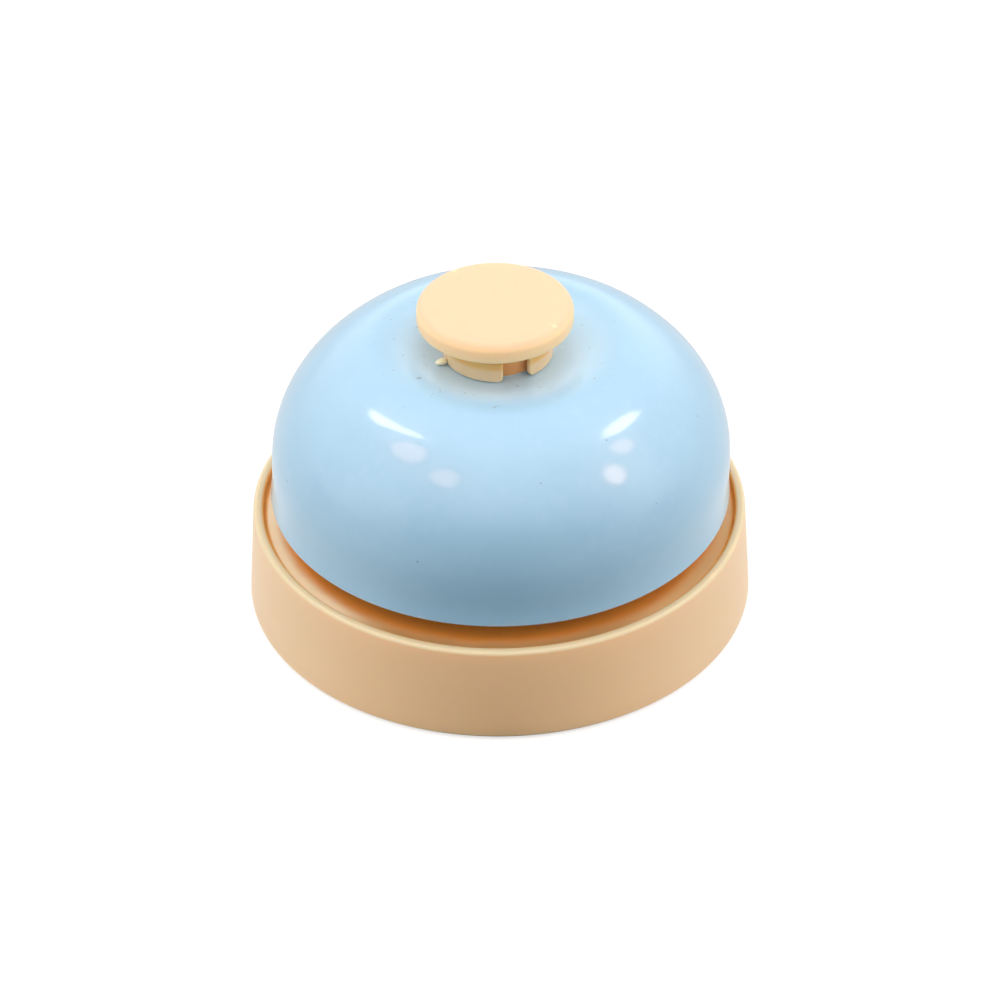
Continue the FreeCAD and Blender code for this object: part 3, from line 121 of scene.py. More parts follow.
def rounded(points, closed=True, steps=6):
    """Replaces corners of a polyline of (radius, height[, corner radius]) with arcs."""
    profile = []
    count = len(points)
    for i in range(count):
        radius = points[i][2] if len(points[i]) > 2 else 0
        corner = np.array(points[i][:2], float)
        if radius <= 0 or (not closed and i in (0, count - 1)):
            profile.append(tuple(corner))
            continue
        before = np.array(points[i - 1][:2], float) - corner
        after = np.array(points[(i + 1) % count][:2], float) - corner
        length_before, length_after = np.linalg.norm(before), np.linalg.norm(after)
        before, after = before / length_before, after / length_after
        half = math.acos(max(-1, min(1, before @ after))) / 2
        # an arc takes less than half of either side
        cut = min(radius / math.tan(half), 0.49 * length_before, 0.49 * length_after)
        radius = cut * math.tan(half)
        bisector = (before + after) / np.linalg.norm(before + after)
        centre = corner + bisector * (radius / math.sin(half))
        first = math.atan2(*(corner + before * cut - centre)[::-1])
        last = math.atan2(*(corner + after * cut - centre)[::-1])
        turn = (last - first + math.pi) % (2 * math.pi) - math.pi
        for k in range(steps + 1):
            angle = first + turn * k / steps
            profile.append((centre[0] + radius * math.cos(angle),
                            centre[1] + radius * math.sin(angle)))
    return profile


def refine(profile, longest, closed=True):
    """Splits long straight stretches so quads stay compact."""
    fine = []
    count = len(profile)
    for i in range(count if closed else count - 1):
        start, end = np.array(profile[i]), np.array(profile[(i + 1) % count])
        pieces = max(1, int(math.ceil(np.linalg.norm(end - start) / longest)))
        for j in range(pieces):
            fine.append(tuple(start + (end - start) * j / pieces))
    if not closed:
        fine.append(tuple(profile[-1]))
    return fine


def wobble(seed, amount, waves):
    """Repeatable low-frequency waviness around an axis."""
    rng = np.random.default_rng(seed)
    terms = [
        (wave, rng.uniform(0, 2 * math.pi), amount * rng.uniform(0.4, 1.0) / wave**0.5)
        for wave in waves
    ]
    return lambda angle: sum(size * math.cos(wave * angle + phase) for wave, phase, size in terms)


# ---------------------------------------------------------------------------------------
# Meshes
# ---------------------------------------------------------------------------------------
def polar(radius, angle, height):
    return radius * math.cos(angle), radius * math.sin(angle), height


def lathe_into(draft, profile, segments, centre=(0, 0), shape=None, closed=True):
    """Revolves a profile about a vertical axis; a point at radius 0 becomes a pole.

    shape(radius, height, angle) may move a point.
    """
    rings = []
    for radius, height in profile:
        if radius < 1e-6:
            rings.append([draft.verts.new((centre[0] * MM, centre[1] * MM, height * MM))])
            continue
        ring = []
        for k in range(segments):
            angle = 2 * math.pi * k / segments
            moved = shape(radius, height, angle) if shape else (radius, height)
            x, y, z = polar(moved[0], angle, moved[1])
            ring.append(draft.verts.new(((centre[0] + x) * MM, (centre[1] + y) * MM, z * MM)))
        rings.append(ring)
    count = len(rings)
    for i in range(count if closed else count - 1):
        low, high = rings[i], rings[(i + 1) % count]
        if len(low) == 1 and len(high) == 1:
            continue
        for k in range(segments):
            after = (k + 1) % segments
            if len(low) == 1:
                draft.faces.new((low[0], high[k], high[after]))
            elif len(high) == 1:
                draft.faces.new((low[k], high[0], low[after]))
            else:
                draft.faces.new((low[k], high[k], high[after], low[after]))


def add_object(name, draft):
    mesh = bpy.data.meshes.new(name)
    draft.to_mesh(mesh)
    draft.free()
    obj = bpy.data.objects.new(name, mesh)
    bpy.context.scene.collection.objects.link(obj)
    return obj


def add_part(name, draft, material, body, node, angle=35.0):
    """Finishes a bell piece; edges steeper than angle (degrees) stay sharp."""
    bmesh.ops.remove_doubles(draft, verts=draft.verts, dist=1e-7)
    bmesh.ops.recalc_face_normals(draft, faces=draft.faces)
    obj = add_object(name, draft)
    for polygon in obj.data.polygons:
        polygon.use_smooth = True
    obj.data.set_sharp_from_angle(angle=math.radians(angle))
    obj.data.materials.append(material)
    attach(obj, body)
    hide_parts(node)
    return obj


# ---------------------------------------------------------------------------------------
# Shader graphs written as expressions
# ---------------------------------------------------------------------------------------
class Value:
    """A node's output; arithmetic on it adds Math nodes."""

    def __init__(self, graph, socket):
        self.graph, self.socket = graph, socket

    def __add__(self, other):
        return self.graph.math("ADD", self, other)

    def __radd__(self, other):
        return self.graph.math("ADD", other, self)

    def __sub__(self, other):
        return self.graph.math("SUBTRACT", self, other)

    def __rsub__(self, other):
        return self.graph.math("SUBTRACT", other, self)

    def __mul__(self, other):
        return self.graph.math("MULTIPLY", self, other)

    def __truediv__(self, other):
        return self.graph.math("DIVIDE", self, other)

    def clamped(self, factor):
        """The product with factor, held between 0 and 1."""
        return self.graph.math("MULTIPLY", self, factor, clamp=True)

    def vary(self, amount):
        """A 0..1 pattern turned into a swing about zero, amount wide."""
        return (self - 0.5) * amount

    def smooth(self, start, end, low=0.0, high=1.0):
        """Eases from low at start to high at end."""
        inputs = {"Value": self, "From Min": start, "From Max": end, "To Min": low, "To Max": high}
        return self.graph.node("MapRange", inputs, "Result", interpolation_type="SMOOTHSTEP")


class Graph:
    """The node tree of a material or world."""

    def __init__(self, owner, kind="Material"):
        owner.use_nodes = True
        self.tree = owner.node_tree
        self.tree.nodes.clear()
        self.output = self.tree.nodes.new("ShaderNodeOutput" + kind)

    def link(self, value, socket):
        if isinstance(value, Value):
            self.tree.links.new(value.socket, socket)
        elif socket.type == "RGBA":
            socket.default_value = (*value, 1)
        else:
            socket.default_value = value

    def node(self, kind, inputs, output=0, **settings):
        """Adds a node, fills the inputs that are not None and returns one output."""
        node = self.tree.nodes.new("ShaderNode" + kind)
        for key, value in settings.items():
            setattr(node, key, value)
        for key, value in inputs.items():
            if value is not None:
                self.link(value, node.inputs[key])
        return Value(self, node.outputs[output])

    def show(self, shader):
        self.link(shader, self.output.inputs[0])

    def math(self, operation, first, second=None, clamp=False):
        inputs = {0: first, 1: second}
        return self.node("Math", inputs, operation=operation, use_clamp=clamp)

    def split(self, vector):
        node = self.node("SeparateXYZ", {0: vector}).socket.node
        return [Value(self, socket) for socket in node.outputs]

    def azimuth(self, x, y):
        """Degrees from the front (-Y) towards either side."""
        return self.math("ARCTAN2", self.math("ABSOLUTE", x), y * -1.0) * DEGREES

    def ramp(self, source, stops, span):
        """Piecewise linear curve through (place, grey) stops, places running 0..span."""
        ramp = self.node("ValToRGB", {"Fac": source / span}, "Color")
        elements = ramp.socket.node.color_ramp.elements
        while len(elements) < len(stops):
            elements.new(0.5)
        for element, (place, grey) in zip(elements, stops):
            element.position = place / span
            element.color = (grey, grey, grey, 1)
        return ramp


class Surface(Graph):
    """A Principled material with patterns in object space, in millimetres."""

    def __init__(self, name):
        self.material = bpy.data.materials.new(name)
        super().__init__(self.material)
        self.shader = self.node("BsdfPrincipled", {})
        self.show(self.shader)
        self.position = self.vector("SCALE", self.node("TexCoord", {}, "Object"), scale=1000.0)

    def set(self, **inputs):
        for key, value in inputs.items():
            self.link(value, self.shader.socket.node.inputs[key.replace("_", " ")])

    def vector(self, operation, first, second=None, scale=None):
        output = "Value" if operation == "LENGTH" else "Vector"
        inputs = {0: first, 1: second, "Scale": scale}
        return self.node("VectorMath", inputs, output, operation=operation)

    def xyz(self):
        return self.split(self.position)

    def combine(self, x, y, z):
        return self.node("CombineXYZ", {0: x, 1: y, 2: z})

    def radius(self, x, y):
        return self.vector("LENGTH", self.combine(x, y, 0.0))

    def noise(self, scale, detail=2, rough=0.5, at=None, output="Fac"):
        inputs = {"Vector": at or self.position, "Scale": scale, "Detail": detail,
                  "Roughness": rough}
        return self.node("TexNoise", inputs, output)

    def cells(self, scale, at=None):
        """Distance to the nearest of a scatter of points."""
        inputs = {"Vector": at or self.position, "Scale": scale}
        return self.node("TexVoronoi", inputs, "Distance")

    def mix(self, share, under, over):
        inputs = {"Factor": share, 6: under, 7: over}
        return self.node("Mix", inputs, 2, data_type="RGBA")

    def bump(self, height, distance, strength):
        inputs = {"Height": height, "Distance": distance * MM, "Strength": strength}
        return self.node("Bump", inputs, "Normal")

    def edge(self, start, end):
        """1 on sharp convex edges, by the surface's pointiness."""
        return self.node("NewGeometry", {}, "Pointiness").smooth(start, end)


# ---------------------------------------------------------------------------------------
# Materials. Factors after * are the weight of each pattern.
# ---------------------------------------------------------------------------------------
def cream(name, base, deep, rough=0.42, grain=1.0, gloss=0.40, glow=0.55, zones=None):
    """Moulded plastic.

    zones(mat, x, y, z) yields (mask, colour, roughness change) for parts in another tone.
    """
    mat = Surface(name)
    x, y, z = mat.xyz()
    cloud = mat.noise(scale=0.045, detail=3, rough=0.55)
    fine = mat.noise(scale=1.6, detail=3, rough=0.6)
    grit = mat.noise(scale=6.5, rough=0.6)
    edge = mat.edge(start=0.515, end=0.60)
    tone = cloud.vary(0.5) + fine.vary(0.16) + 0.45
    colour = mat.mix(tone.clamped(1.0), base, deep)
    polish = 0.0
    for mask, tint, change in zones(mat, x, y, z) if zones else ():
        shaded = mat.mix(tone.clamped(0.04), tint, (0.0, 0.0, 0.0))
        colour = mat.mix(mask, colour, shaded)
        polish = polish + mask * change
    # sparse dust and tiny embedded specks
    speck = mat.cells(scale=0.55).smooth(start=0.05, end=0.02)
    speck = speck * mat.noise(scale=0.21, detail=1).smooth(start=0.60, end=0.66)
    colour = mat.mix(speck * 0.35, colour, (0.30, 0.20, 0.11))
    # rubbed edges come out a little paler and smoother
    pale = tuple(min(1.0, channel * 1.14 + 0.03) for channel in base)
    mat.set(Base_Color=mat.mix(edge * 0.35, colour, pale))
    # a node even where both terms are plain numbers
    roughness = mat.math("ADD", rough, polish)
    mat.set(
        Roughness=roughness + fine.vary(0.14) + cloud.vary(0.10) + edge * -0.08,
        IOR=1.50,
        Specular_IOR_Level=gloss,
        # thin walls let warm light through
        Subsurface_Weight=glow,
        Subsurface_Scale=MM,
        Subsurface_Radius=(3.0, 1.4, 0.5),
    )
    # faint moulding swirl, spark-eroded grain and hairline scratches
    swirl = mat.noise(scale=0.16, at=mat.combine(x, y, z * 3.0))
    scratch = mat.noise(scale=2.2, detail=1, at=mat.combine(x * 0.12, y, z * 2.6))
    scratch = scratch.smooth(start=0.70, end=0.78)
    scratch = scratch * mat.noise(scale=0.10, detail=1).smooth(start=0.52, end=0.64)
    relief = swirl * 0.8 + fine * (0.10 * grain) + grit * (0.05 * grain) + scratch * -0.10
    mat.set(Normal=mat.bump(relief, distance=0.05, strength=0.55))
    return mat.material


def cup_zones(mat, x, y, z):
    """Painted shade and light: the deck under the dome painted a deep amber for its shade, a warmer
    painted shadow in the crease along the wall, and a paler, smoother rim toned for the light it
    catches.
    """
    radius = mat.radius(x, y)
    well = radius.smooth(start=35.62, end=35.36) * z.smooth(start=15.12, end=14.98)
    well = well * z.smooth(start=10.0, end=10.7)
    under = (radius + mat.noise(scale=0.25) * 0.8).smooth(start=34.2, end=31.8)
    # painted light and shade on the ledge: paler on the left, where the side light reaches it, and
    # darker at the front, in the dome's shade
    lit_left = x.smooth(start=-8.0, end=-26.0)
    tone = mat.mix(lit_left, (0.76, 0.45, 0.20), (0.92, 0.74, 0.49))
    tone = mat.mix(y.smooth(start=-24.0, end=-31.0), tone, (0.52, 0.290, 0.115))
    yield well * (1.0 - under), tone, 0.0
    # painted shade: the deck in the dome's shadow is painted a deep amber
    yield well * under, (0.97, 0.345, 0.055), 0.0
    # painted shadow in the crease along the wall, warmer in tone and rougher
    yield radius.smooth(start=34.35, end=34.75) * well, (0.95, 0.47, 0.10), 0.12
    # painted light: the rim's top is toned less saturated and darker than the wall to stand for the
    # overhead light and sheen it catches; it is also smoother
    rim = z.smooth(start=14.55, end=14.90) * radius.smooth(start=35.30, end=35.56)
    yield rim, (0.560, 0.478, 0.303), -0.08
    # painted shade: the outer wall is toned darker towards the left and right, where it takes more
    # light
    side = mat.math("ABSOLUTE", x).smooth(start=14.0, end=35.0) * z.smooth(start=14.85, end=14.55)
    yield side * radius.smooth(start=35.5, end=35.9), (0.655, 0.474, 0.284), 0.0


def collar_zones(mat, x, y, z):
    """Painted shade: deeper in tone under the button and on the barrel between the segments."""
    radius = mat.radius(x, y)
    yield radius.smooth(start=6.95, end=7.25), (0.88, 0.585, 0.355), 0.0
    # painted shade on the barrel, in the recess between the segments
    yield radius.smooth(start=7.10, end=6.70), (0.84, 0.36, 0.125), 0.0
    # painted shade just under the button
    yield z.smooth(start=43.5, end=44.5) * 0.9, (0.90, 0.46, 0.13), 0.0
    yield radius.smooth(start=8.08, end=8.22), (0.95, 0.85, 0.63), 0.0


def button_zones(mat, x, y, z):
    """Pressed face: painted darker and a little pinker than the edge, for the stronger light on top;
    also a little smoother.
    """
    yield z.smooth(start=49.4, end=50.3), (0.745, 0.440, 0.282), -0.02


def blue_paint():
    """Glossy enamel under a clear coat, with dirt, wear and dust, and painted light and shade in the
    dish round the collar.
    """
    mat = Surface("blue_enamel_paint")
    x, y, z = mat.xyz()
    radius = mat.radius(x, y)
    cloud = mat.noise(scale=0.06, detail=3, rough=0.55)
    mottle = mat.noise(scale=0.55, detail=3, rough=0.6)
    fine = mat.noise(scale=3.2, rough=0.55)
    base, deep, pale = (0.245, 0.426, 0.563), (0.229, 0.405, 0.545), (0.268, 0.450, 0.585)
    colour = mat.mix(cloud.smooth(start=0.32, end=0.68), deep, base)
    colour = mat.mix(mottle.smooth(start=0.45, end=0.75) * 0.30, colour, pale)
    # handling dirt and painted shade, darkening the dish round the collar
    ring = radius.smooth(start=15.5, end=8.2) * z.smooth(start=40.0, end=41.0)
    grime_and_shade = ring * (0.45 + mat.noise(scale=0.45, detail=4, rough=0.65) * 0.75)
    # painted light: the dish is painted a paler blue to lift the shade under the button
    dish_light = radius.smooth(start=18.0, end=10.2) * z.smooth(start=40.0, end=41.0)
    dish_light = dish_light * (0.54 + mat.noise(scale=0.35, detail=3, rough=0.6) * 0.16)
    colour = mat.mix(dish_light, colour, (0.57, 0.78, 0.93))
    colour = mat.mix(grime_and_shade.clamped(0.14), colour, (0.265, 0.350, 0.350))
    # thin paint and rub marks at the mouth edge
    worn = mat.noise(scale=0.9, detail=4, rough=0.7).smooth(start=0.50, end=0.64)
    worn = z.smooth(start=18.9, end=18.0) * worn
    colour = mat.mix(worn * 0.45, colour, (0.46, 0.50, 0.50))
    # dust specks and pin holes, each kept only where a second pattern allows
    speck = mat.cells(scale=0.30).smooth(start=0.062, end=0.030)
    speck = speck * mat.noise(scale=0.17, detail=1).smooth(start=0.56, end=0.60)
    dot = mat.cells(scale=0.62).smooth(start=0.070, end=0.030)
    dot = dot * mat.noise(scale=0.33, detail=1).smooth(start=0.60, end=0.66)
    # irregular flecks of varied size, near the top only
    drift = mat.vector("SCALE", mat.noise(scale=0.30, rough=0.6, output="Color"), scale=9.0)
    stray = mat.vector("ADD", mat.position, drift)
    size = mat.noise(scale=0.55, detail=1, at=stray)
    size = size.smooth(start=0.54, end=0.68, low=0.0, high=0.26)
    fleck = (mat.cells(scale=0.62, at=stray) - size).smooth(start=0.0, end=-0.06)
    fleck = fleck * radius.smooth(start=19.5, end=16.0)
    colour = mat.mix(fleck * 0.55, colour, (0.12, 0.14, 0.15))
    colour = mat.mix(speck * 0.60, colour, (0.10, 0.13, 0.14))
    colour = mat.mix(dot * 0.30, colour, (0.16, 0.24, 0.28))
    # hairline wipe marks in the clear coat
    streak = mat.noise(scale=0.42, detail=1, at=mat.combine(x * 2.4, y * 0.25, z * 0.9))
    hair = mat.math("ABSOLUTE", streak - 0.52).smooth(start=0.006, end=0.001)
    hair = hair * mat.noise(scale=0.09, detail=1).smooth(start=0.50, end=0.60)
    coat_cloud = mat.noise(scale=0.20, detail=3)
    mat.set(
        Base_Color=colour,
        Roughness=0.36 + mottle.vary(0.10) + grime_and_shade * 0.22 + hair * 0.10,
        IOR=1.52,
        Specular_IOR_Level=0.42,
        Coat_Weight=mat.math("SUBTRACT", 0.86, grime_and_shade * 0.35, clamp=True),
        Coat_IOR=1.52,
        Coat_Roughness=0.075 + coat_cloud * 0.05 + grime_and_shade * 0.20 + hair * 0.12,
    )
    # the paint and its coat share the orange peel but differ in fine relief
    peel = mat.noise(scale=0.80)
    wave = mat.noise(scale=0.13)
    relief = wave * 1.6 + peel * 0.16 + fine * 0.012 + speck * 0.55 + dot * 0.25
    coat_relief = wave * 1.6 + peel * 0.20 + speck * 0.55 + hair * -0.10
    mat.set(
        Normal=mat.bump(relief, distance=0.035, strength=0.6),
        Coat_Normal=mat.bump(coat_relief, distance=0.035, strength=0.6),
    )
    return mat.material


def metal(name, colour, rough, spots, brush=None, brush_scale=None, tint=None, bump=0.010):
    """Plated or bare steel.

    brush is the axis the marks run along (0 x, 1 y, 2 z), or None for a tumbled finish;
    spots is the strength of the blotches and tint their colour.
    """
    mat = Surface(name)
    if brush is None:
        marks = mat.noise(scale=2.4, detail=4, rough=0.65)
    else:
        # the pattern is drawn out along the brushed axis
        drawn = [axis * (0.05 if i == brush else 1.0) for i, axis in enumerate(mat.xyz())]
        marks = mat.noise(scale=brush_scale, detail=3, rough=0.6, at=mat.combine(*drawn))
    cloud = mat.noise(scale=0.25, detail=3, rough=0.6)
    blotch = mat.noise(scale=0.9, detail=4, rough=0.7).smooth(start=0.50, end=0.72)
    edge = mat.edge(start=0.52, end=0.62)
    dark = tuple(channel * 0.62 for channel in colour)
    bright = tuple(min(1.0, channel * 1.25) for channel in colour)
    mixed = mat.mix(blotch * spots, colour, tint or dark)
    mixed = mat.mix((marks - 0.35).clamped(0.5), mixed, dark)
    mat.set(
        Base_Color=mat.mix(edge * 0.5, mixed, bright),
        Metallic=1.0,
        Roughness=rough + marks.vary(0.25) + cloud.vary(0.15) + edge * -0.06,
        Normal=mat.bump(marks + cloud * 0.5, distance=bump, strength=0.8),
    )
    return mat.material


def rubber():
    mat = Surface("pad_rubber_black")
    fine = mat.noise(scale=5.0, detail=3, rough=0.6)
    cloud = mat.noise(scale=0.5, detail=3, rough=0.6)
    dust = mat.noise(scale=1.8, detail=4, rough=0.7).smooth(start=0.48, end=0.70)
    colour = mat.mix(cloud, (0.018, 0.018, 0.019), (0.035, 0.034, 0.033))
    mat.set(
        Base_Color=mat.mix(dust * 0.35, colour, (0.16, 0.15, 0.14)),
        Roughness=0.62 + fine * 0.25,
        Specular_IOR_Level=0.35,
        Normal=mat.bump(fine + cloud * 0.6, distance=0.03, strength=0.8),
    )
    return mat.material


def fibre(name, light, dark, rough=0.7):
    """Matt material in thin flat layers."""
    mat = Surface(name)
    x, y, z = mat.xyz()
    strands = mat.noise(scale=3.0, detail=4, rough=0.7, at=mat.combine(x, y, z * 4.0))
    layers = mat.noise(scale=1.5, rough=0.6, at=mat.combine(0.0, 0.0, z * 5.0))
    mat.set(
        Base_Color=mat.mix((strands + layers * 0.6).clamped(0.8), light, dark),
        Roughness=rough + strands.vary(0.3),
        Specular_IOR_Level=0.35,
        Normal=mat.bump(strands + layers, distance=0.02, strength=0.8),
    )
    return mat.material


def dome_inside():
    """Bare plated steel with blue overspray that thins out away from the mouth."""
    mat = Surface("dome_inside_steel")
    z = mat.xyz()[2]
    cloud = mat.noise(scale=0.10, detail=3, rough=0.6)
    mottle = mat.noise(scale=0.7, detail=4, rough=0.65)
    fine = mat.noise(scale=3.0, rough=0.6)
    patches = mottle.smooth(start=0.42, end=0.70)
    steel = mat.mix(patches, (0.60, 0.585, 0.555), (0.44, 0.42, 0.39))
    spray = (z + mottle.vary(7.0)).smooth(start=24.0, end=18.6)
    mat.set(
        Base_Color=mat.mix(spray, steel, (0.25, 0.42, 0.55)),
        Metallic=0.9 - spray * 0.85,
        Roughness=0.38 + fine.vary(0.2) + cloud.vary(0.2),
        Normal=mat.bump(cloud + fine * 0.2, distance=0.03, strength=0.6),
    )
    return mat.material


CUP = cream("cream_plastic_cup", base=(0.722, 0.492, 0.276), deep=(0.692, 0.463, 0.250),
            rough=0.41, gloss=0.55, glow=0.35, zones=cup_zones)
COLLAR = cream("cream_plastic_collar", base=(0.760, 0.520, 0.300), deep=(0.720, 0.480, 0.265),
               grain=0.7, zones=collar_zones)
BUTTON = cream("cream_plastic_button", base=(0.790, 0.590, 0.335), deep=(0.770, 0.565, 0.315),
               rough=0.40, grain=0.5, glow=0.40, zones=button_zones)
COVER = cream("cream_plastic_cover", base=(0.715, 0.485, 0.260), deep=(0.650, 0.430, 0.220),
              rough=0.52, grain=1.8)
BLUE = blue_paint()
SCREW = metal("zinc_plated_screw", (0.66, 0.65, 0.60), rough=0.30, spots=0.35,
              tint=(0.52, 0.47, 0.34))
SHEET = metal("zinc_plated_sheet", (0.60, 0.61, 0.62), rough=0.32, spots=0.25,
              brush=2, brush_scale=5.0)
ARM = metal("zinc_plated_arm", (0.60, 0.61, 0.62), rough=0.30, spots=0.25,
            brush=0, brush_scale=5.0)
TURNED = metal("nickel_turned_steel", (0.70, 0.68, 0.64), rough=0.18, spots=0.18, bump=0.004)
DARK = metal("dark_spring_steel", (0.20, 0.20, 0.215), rough=0.34, spots=0.5,
             tint=(0.12, 0.10, 0.09))
WIRE = metal("drawn_spring_wire", (0.56, 0.56, 0.56), rough=0.24, spots=0.2,
             brush=2, brush_scale=3.0)
HEAD = metal("hammer_head_steel", (0.52, 0.51, 0.50), rough=0.26, spots=0.3,
             tint=(0.33, 0.28, 0.22))
FIBRE = fibre("red_brown_fibre", light=(0.28, 0.075, 0.035), dark=(0.14, 0.035, 0.02))
FILM = fibre("pale_nylon_film", light=(0.66, 0.68, 0.67), dark=(0.52, 0.54, 0.54), rough=0.45)
NYLON = fibre("white_nylon", light=(0.78, 0.77, 0.73), dark=(0.62, 0.61, 0.57), rough=0.42)
PAD = rubber()
INSIDE = dome_inside()


# ---------------------------------------------------------------------------------------
# Bell dome
# ---------------------------------------------------------------------------------------
def dome_outline():
    """Outer face from the mouth over the crest down into the dish."""
    points = [
        (MOUTH_RADIUS, MOUTH_Z),
        (MOUTH_RADIUS - 0.17, MOUTH_Z + 1.6),
        (SIDE_RADIUS, MOUTH_Z + 3.6),
    ]
    # shoulder: a slightly squared quarter ellipse
    for angle in (0.10, 0.24, 0.38, 0.52, 0.64):
        points.append((SIDE_RADIUS * math.cos(angle) ** 1.0116,
                       SIDE_TOP_Z + SHOULDER_RISE * math.sin(angle) ** 0.94))
    # run up to the crest: (distance outside it, drop below it)
    for out, drop in ((7.9, 2.91), (5.6, 1.56), (3.5, 0.63), (1.6, 0.135), (0, 0)):
        points.append((CREST_RADIUS + out, CREST_Z - drop))
    # dish: a half cosine from the crest down to its floor
    for share in (0.18, 0.36, 0.54, 0.72, 0.88):
        fall = 0.5 * (1 + math.cos(math.pi * share))
        points.append((CREST_RADIUS - (CREST_RADIUS - DISH_RADIUS) * share,
                       DISH_Z + (CREST_Z - DISH_Z) * fall))
    points.append((DISH_RADIUS, DISH_Z))
    return spline(points, 110, start=(-0.10, 1), end=(-1, 0))


def dome_profile():
    """Closed section: outer face, hole, inner face, half-round lip at the mouth."""
    outer = np.array(dome_outline())
    tangent = np.gradient(outer, axis=0)
    tangent /= np.linalg.norm(tangent, axis=1)[:, None]
    inner = outer + np.stack([-tangent[:, 1], tangent[:, 0]], 1) * DOME_WALL
    under = DISH_Z - DOME_WALL
    inner[-1] = (DISH_RADIUS, under)
    lip_x, lip_z = MOUTH_RADIUS - DOME_WALL / 2, MOUTH_Z + DOME_WALL / 2 - 0.02
    lip = []
    for k in range(1, 8):
        angle = -math.pi * k / 8
        lip.append((lip_x + (DOME_WALL / 2) * math.cos(angle),
                    lip_z + (DOME_WALL / 2) * math.sin(angle)))
    # the faces begin just above the lip
    outer, inner = (
        [tuple(point) for point in face[next(i for i, p in enumerate(face) if p[1] > lip_z + 0.05):]]
        for face in (outer, inner)
    )
    flat, bevel = 6.2, 0.08
    hole = [
        (flat, DISH_Z), (DOME_HOLE + bevel, DISH_Z), (DOME_HOLE, DISH_Z - bevel),
        (DOME_HOLE, under + bevel), (DOME_HOLE + bevel, under), (flat, under),
    ]
    return outer + hole + inner[::-1] + lip[::-1]


def build_dome():
    dent = wobble(seed=7, amount=0.016, waves=(2, 3, 5, 7))
    ripple = wobble(seed=11, amount=0.010, waves=(4, 6, 9))

    def pressed(radius, height, angle):
        """Slight unevenness that fades in away from the dish."""
        share = max(0.0, min(1.0, (radius - 9.0) / 14.0))
        uneven = dent(angle) + ripple(angle + height * 0.05) * math.sin(height * 0.35)
        return radius + share * uneven, height

    draft = bmesh.new()
    lathe_into(draft, refine(dome_profile(), longest=1.2), segments=320, shape=pressed)
    # the shell sits a little to the right of the post and leans that way with height
    offset, lean, lean_from = 0.164, 0.024, 17.4
    for vert in draft.verts:
        share = max(0.0, min(1.0, (math.hypot(vert.co.x, vert.co.y) / MM - 8.5) / 8.0))
        shift = (offset + lean * (vert.co.z / MM - lean_from)) * MM
        vert.co.x += shift * share * share * (3 - 2 * share)
    dome = add_part("bell_dome_pressed_shell", draft, BLUE, "frame", "bell_dome")
    # faces that look towards a point low on the post take the inside finish
    dome.data.materials.append(INSIDE)
    for polygon in dome.data.polygons:
        centre = polygon.center / MM
        outward = Vector((centre.x, centre.y, centre.z - 20.0)).normalized()
        if polygon.normal.dot(outward) < -0.05 and math.hypot(centre.x, centre.y) > 5.3:
            polygon.material_index = 1


# ---------------------------------------------------------------------------------------
# Base cup: wall, rim, deck, bosses, ribs
# ---------------------------------------------------------------------------------------
# radius, height, corner radius
CUP_SECTION = [
    (0.0, 10.90), (25.60, 10.90, 0.8), (27.50, 13.90, 0.8),  # deck and the slope to its ledge
    (34.95, 13.90, 0.42), (35.12, 15.15, 0.62), (36.60, 15.15, 0.62),  # ledge and rim
    (37.55, 0.40, 0.35), (35.95, 0.40, 0.2),  # outer wall and foot
    (35.95, DECK_UNDER, 0.3), (0.0, DECK_UNDER),  # inner wall and underside of the deck
]


def boss_into(draft, x, y, bottom):
    top = DECK_UNDER + EMBED
    section = [(BOSS_RADIUS, top), (BOSS_RADIUS, bottom, 0.25), (BOSS_BORE, bottom, 0.15),
               (BOSS_BORE, top)]
    profile = rounded(section, closed=False, steps=3)
    lathe_into(draft, profile, segments=48, centre=(x, y))


def rib_into(draft, angle, start, end):
    """Radial rib under the deck, with a sloped inner end."""
    along = Vector(polar(1, angle, 0))
    across = Vector((-math.sin(angle), math.cos(angle), 0))
    top = DECK_UNDER + EMBED
    pairs = []
    for radius, z in ((start, top), (start + 0.5, RIB_BOTTOM), (end, RIB_BOTTOM), (end, top)):
        pairs.append([
            draft.verts.new((along * radius + across * side + Vector((0, 0, z))) * MM)
            for side in (-RIB_HALF, RIB_HALF)
        ])
    for i in range(4):
        j = (i + 1) % 4
        draft.faces.new((pairs[i][0], pairs[j][0], pairs[j][1], pairs[i][1]))
    draft.faces.new([pair[0] for pair in pairs])
    draft.faces.new([pair[1] for pair in pairs][::-1])


def build_cup():
    wave = wobble(seed=3, amount=0.010, waves=(2, 3, 4))

    def uneven_wall(radius, height, angle):
        return radius + (wave(angle) if radius > 30 else 0.0), height

    draft = bmesh.new()
    section = refine(rounded(CUP_SECTION, closed=False, steps=7), longest=2.2, closed=False)
    lathe_into(draft, section, segments=288, shape=uneven_wall, closed=False)
    for y in (INNER_BOSS_Y, -INNER_BOSS_Y):
        boss_into(draft, 0, y, bottom=3.8)
    for k in range(3):
        x, y, _ = polar(OUTER_BOSS_RING, math.radians(120 * k), 0)
        boss_into(draft, x, y, bottom=3.7)
    # every other rib is broken by an outer boss
    reach = BOSS_RADIUS - RIB_BITE
    broken = [(RIB_START, OUTER_BOSS_RING - reach), (OUTER_BOSS_RING + reach, RIB_END)]
    for k in range(6):
        for start, end in broken if k % 2 == 0 else [(RIB_START, RIB_END)]:
            rib_into(draft, math.radians(60 * k), start, end)
    add_part("base_cup_moulding", draft, CUP, "frame", "base_cup", angle=40)


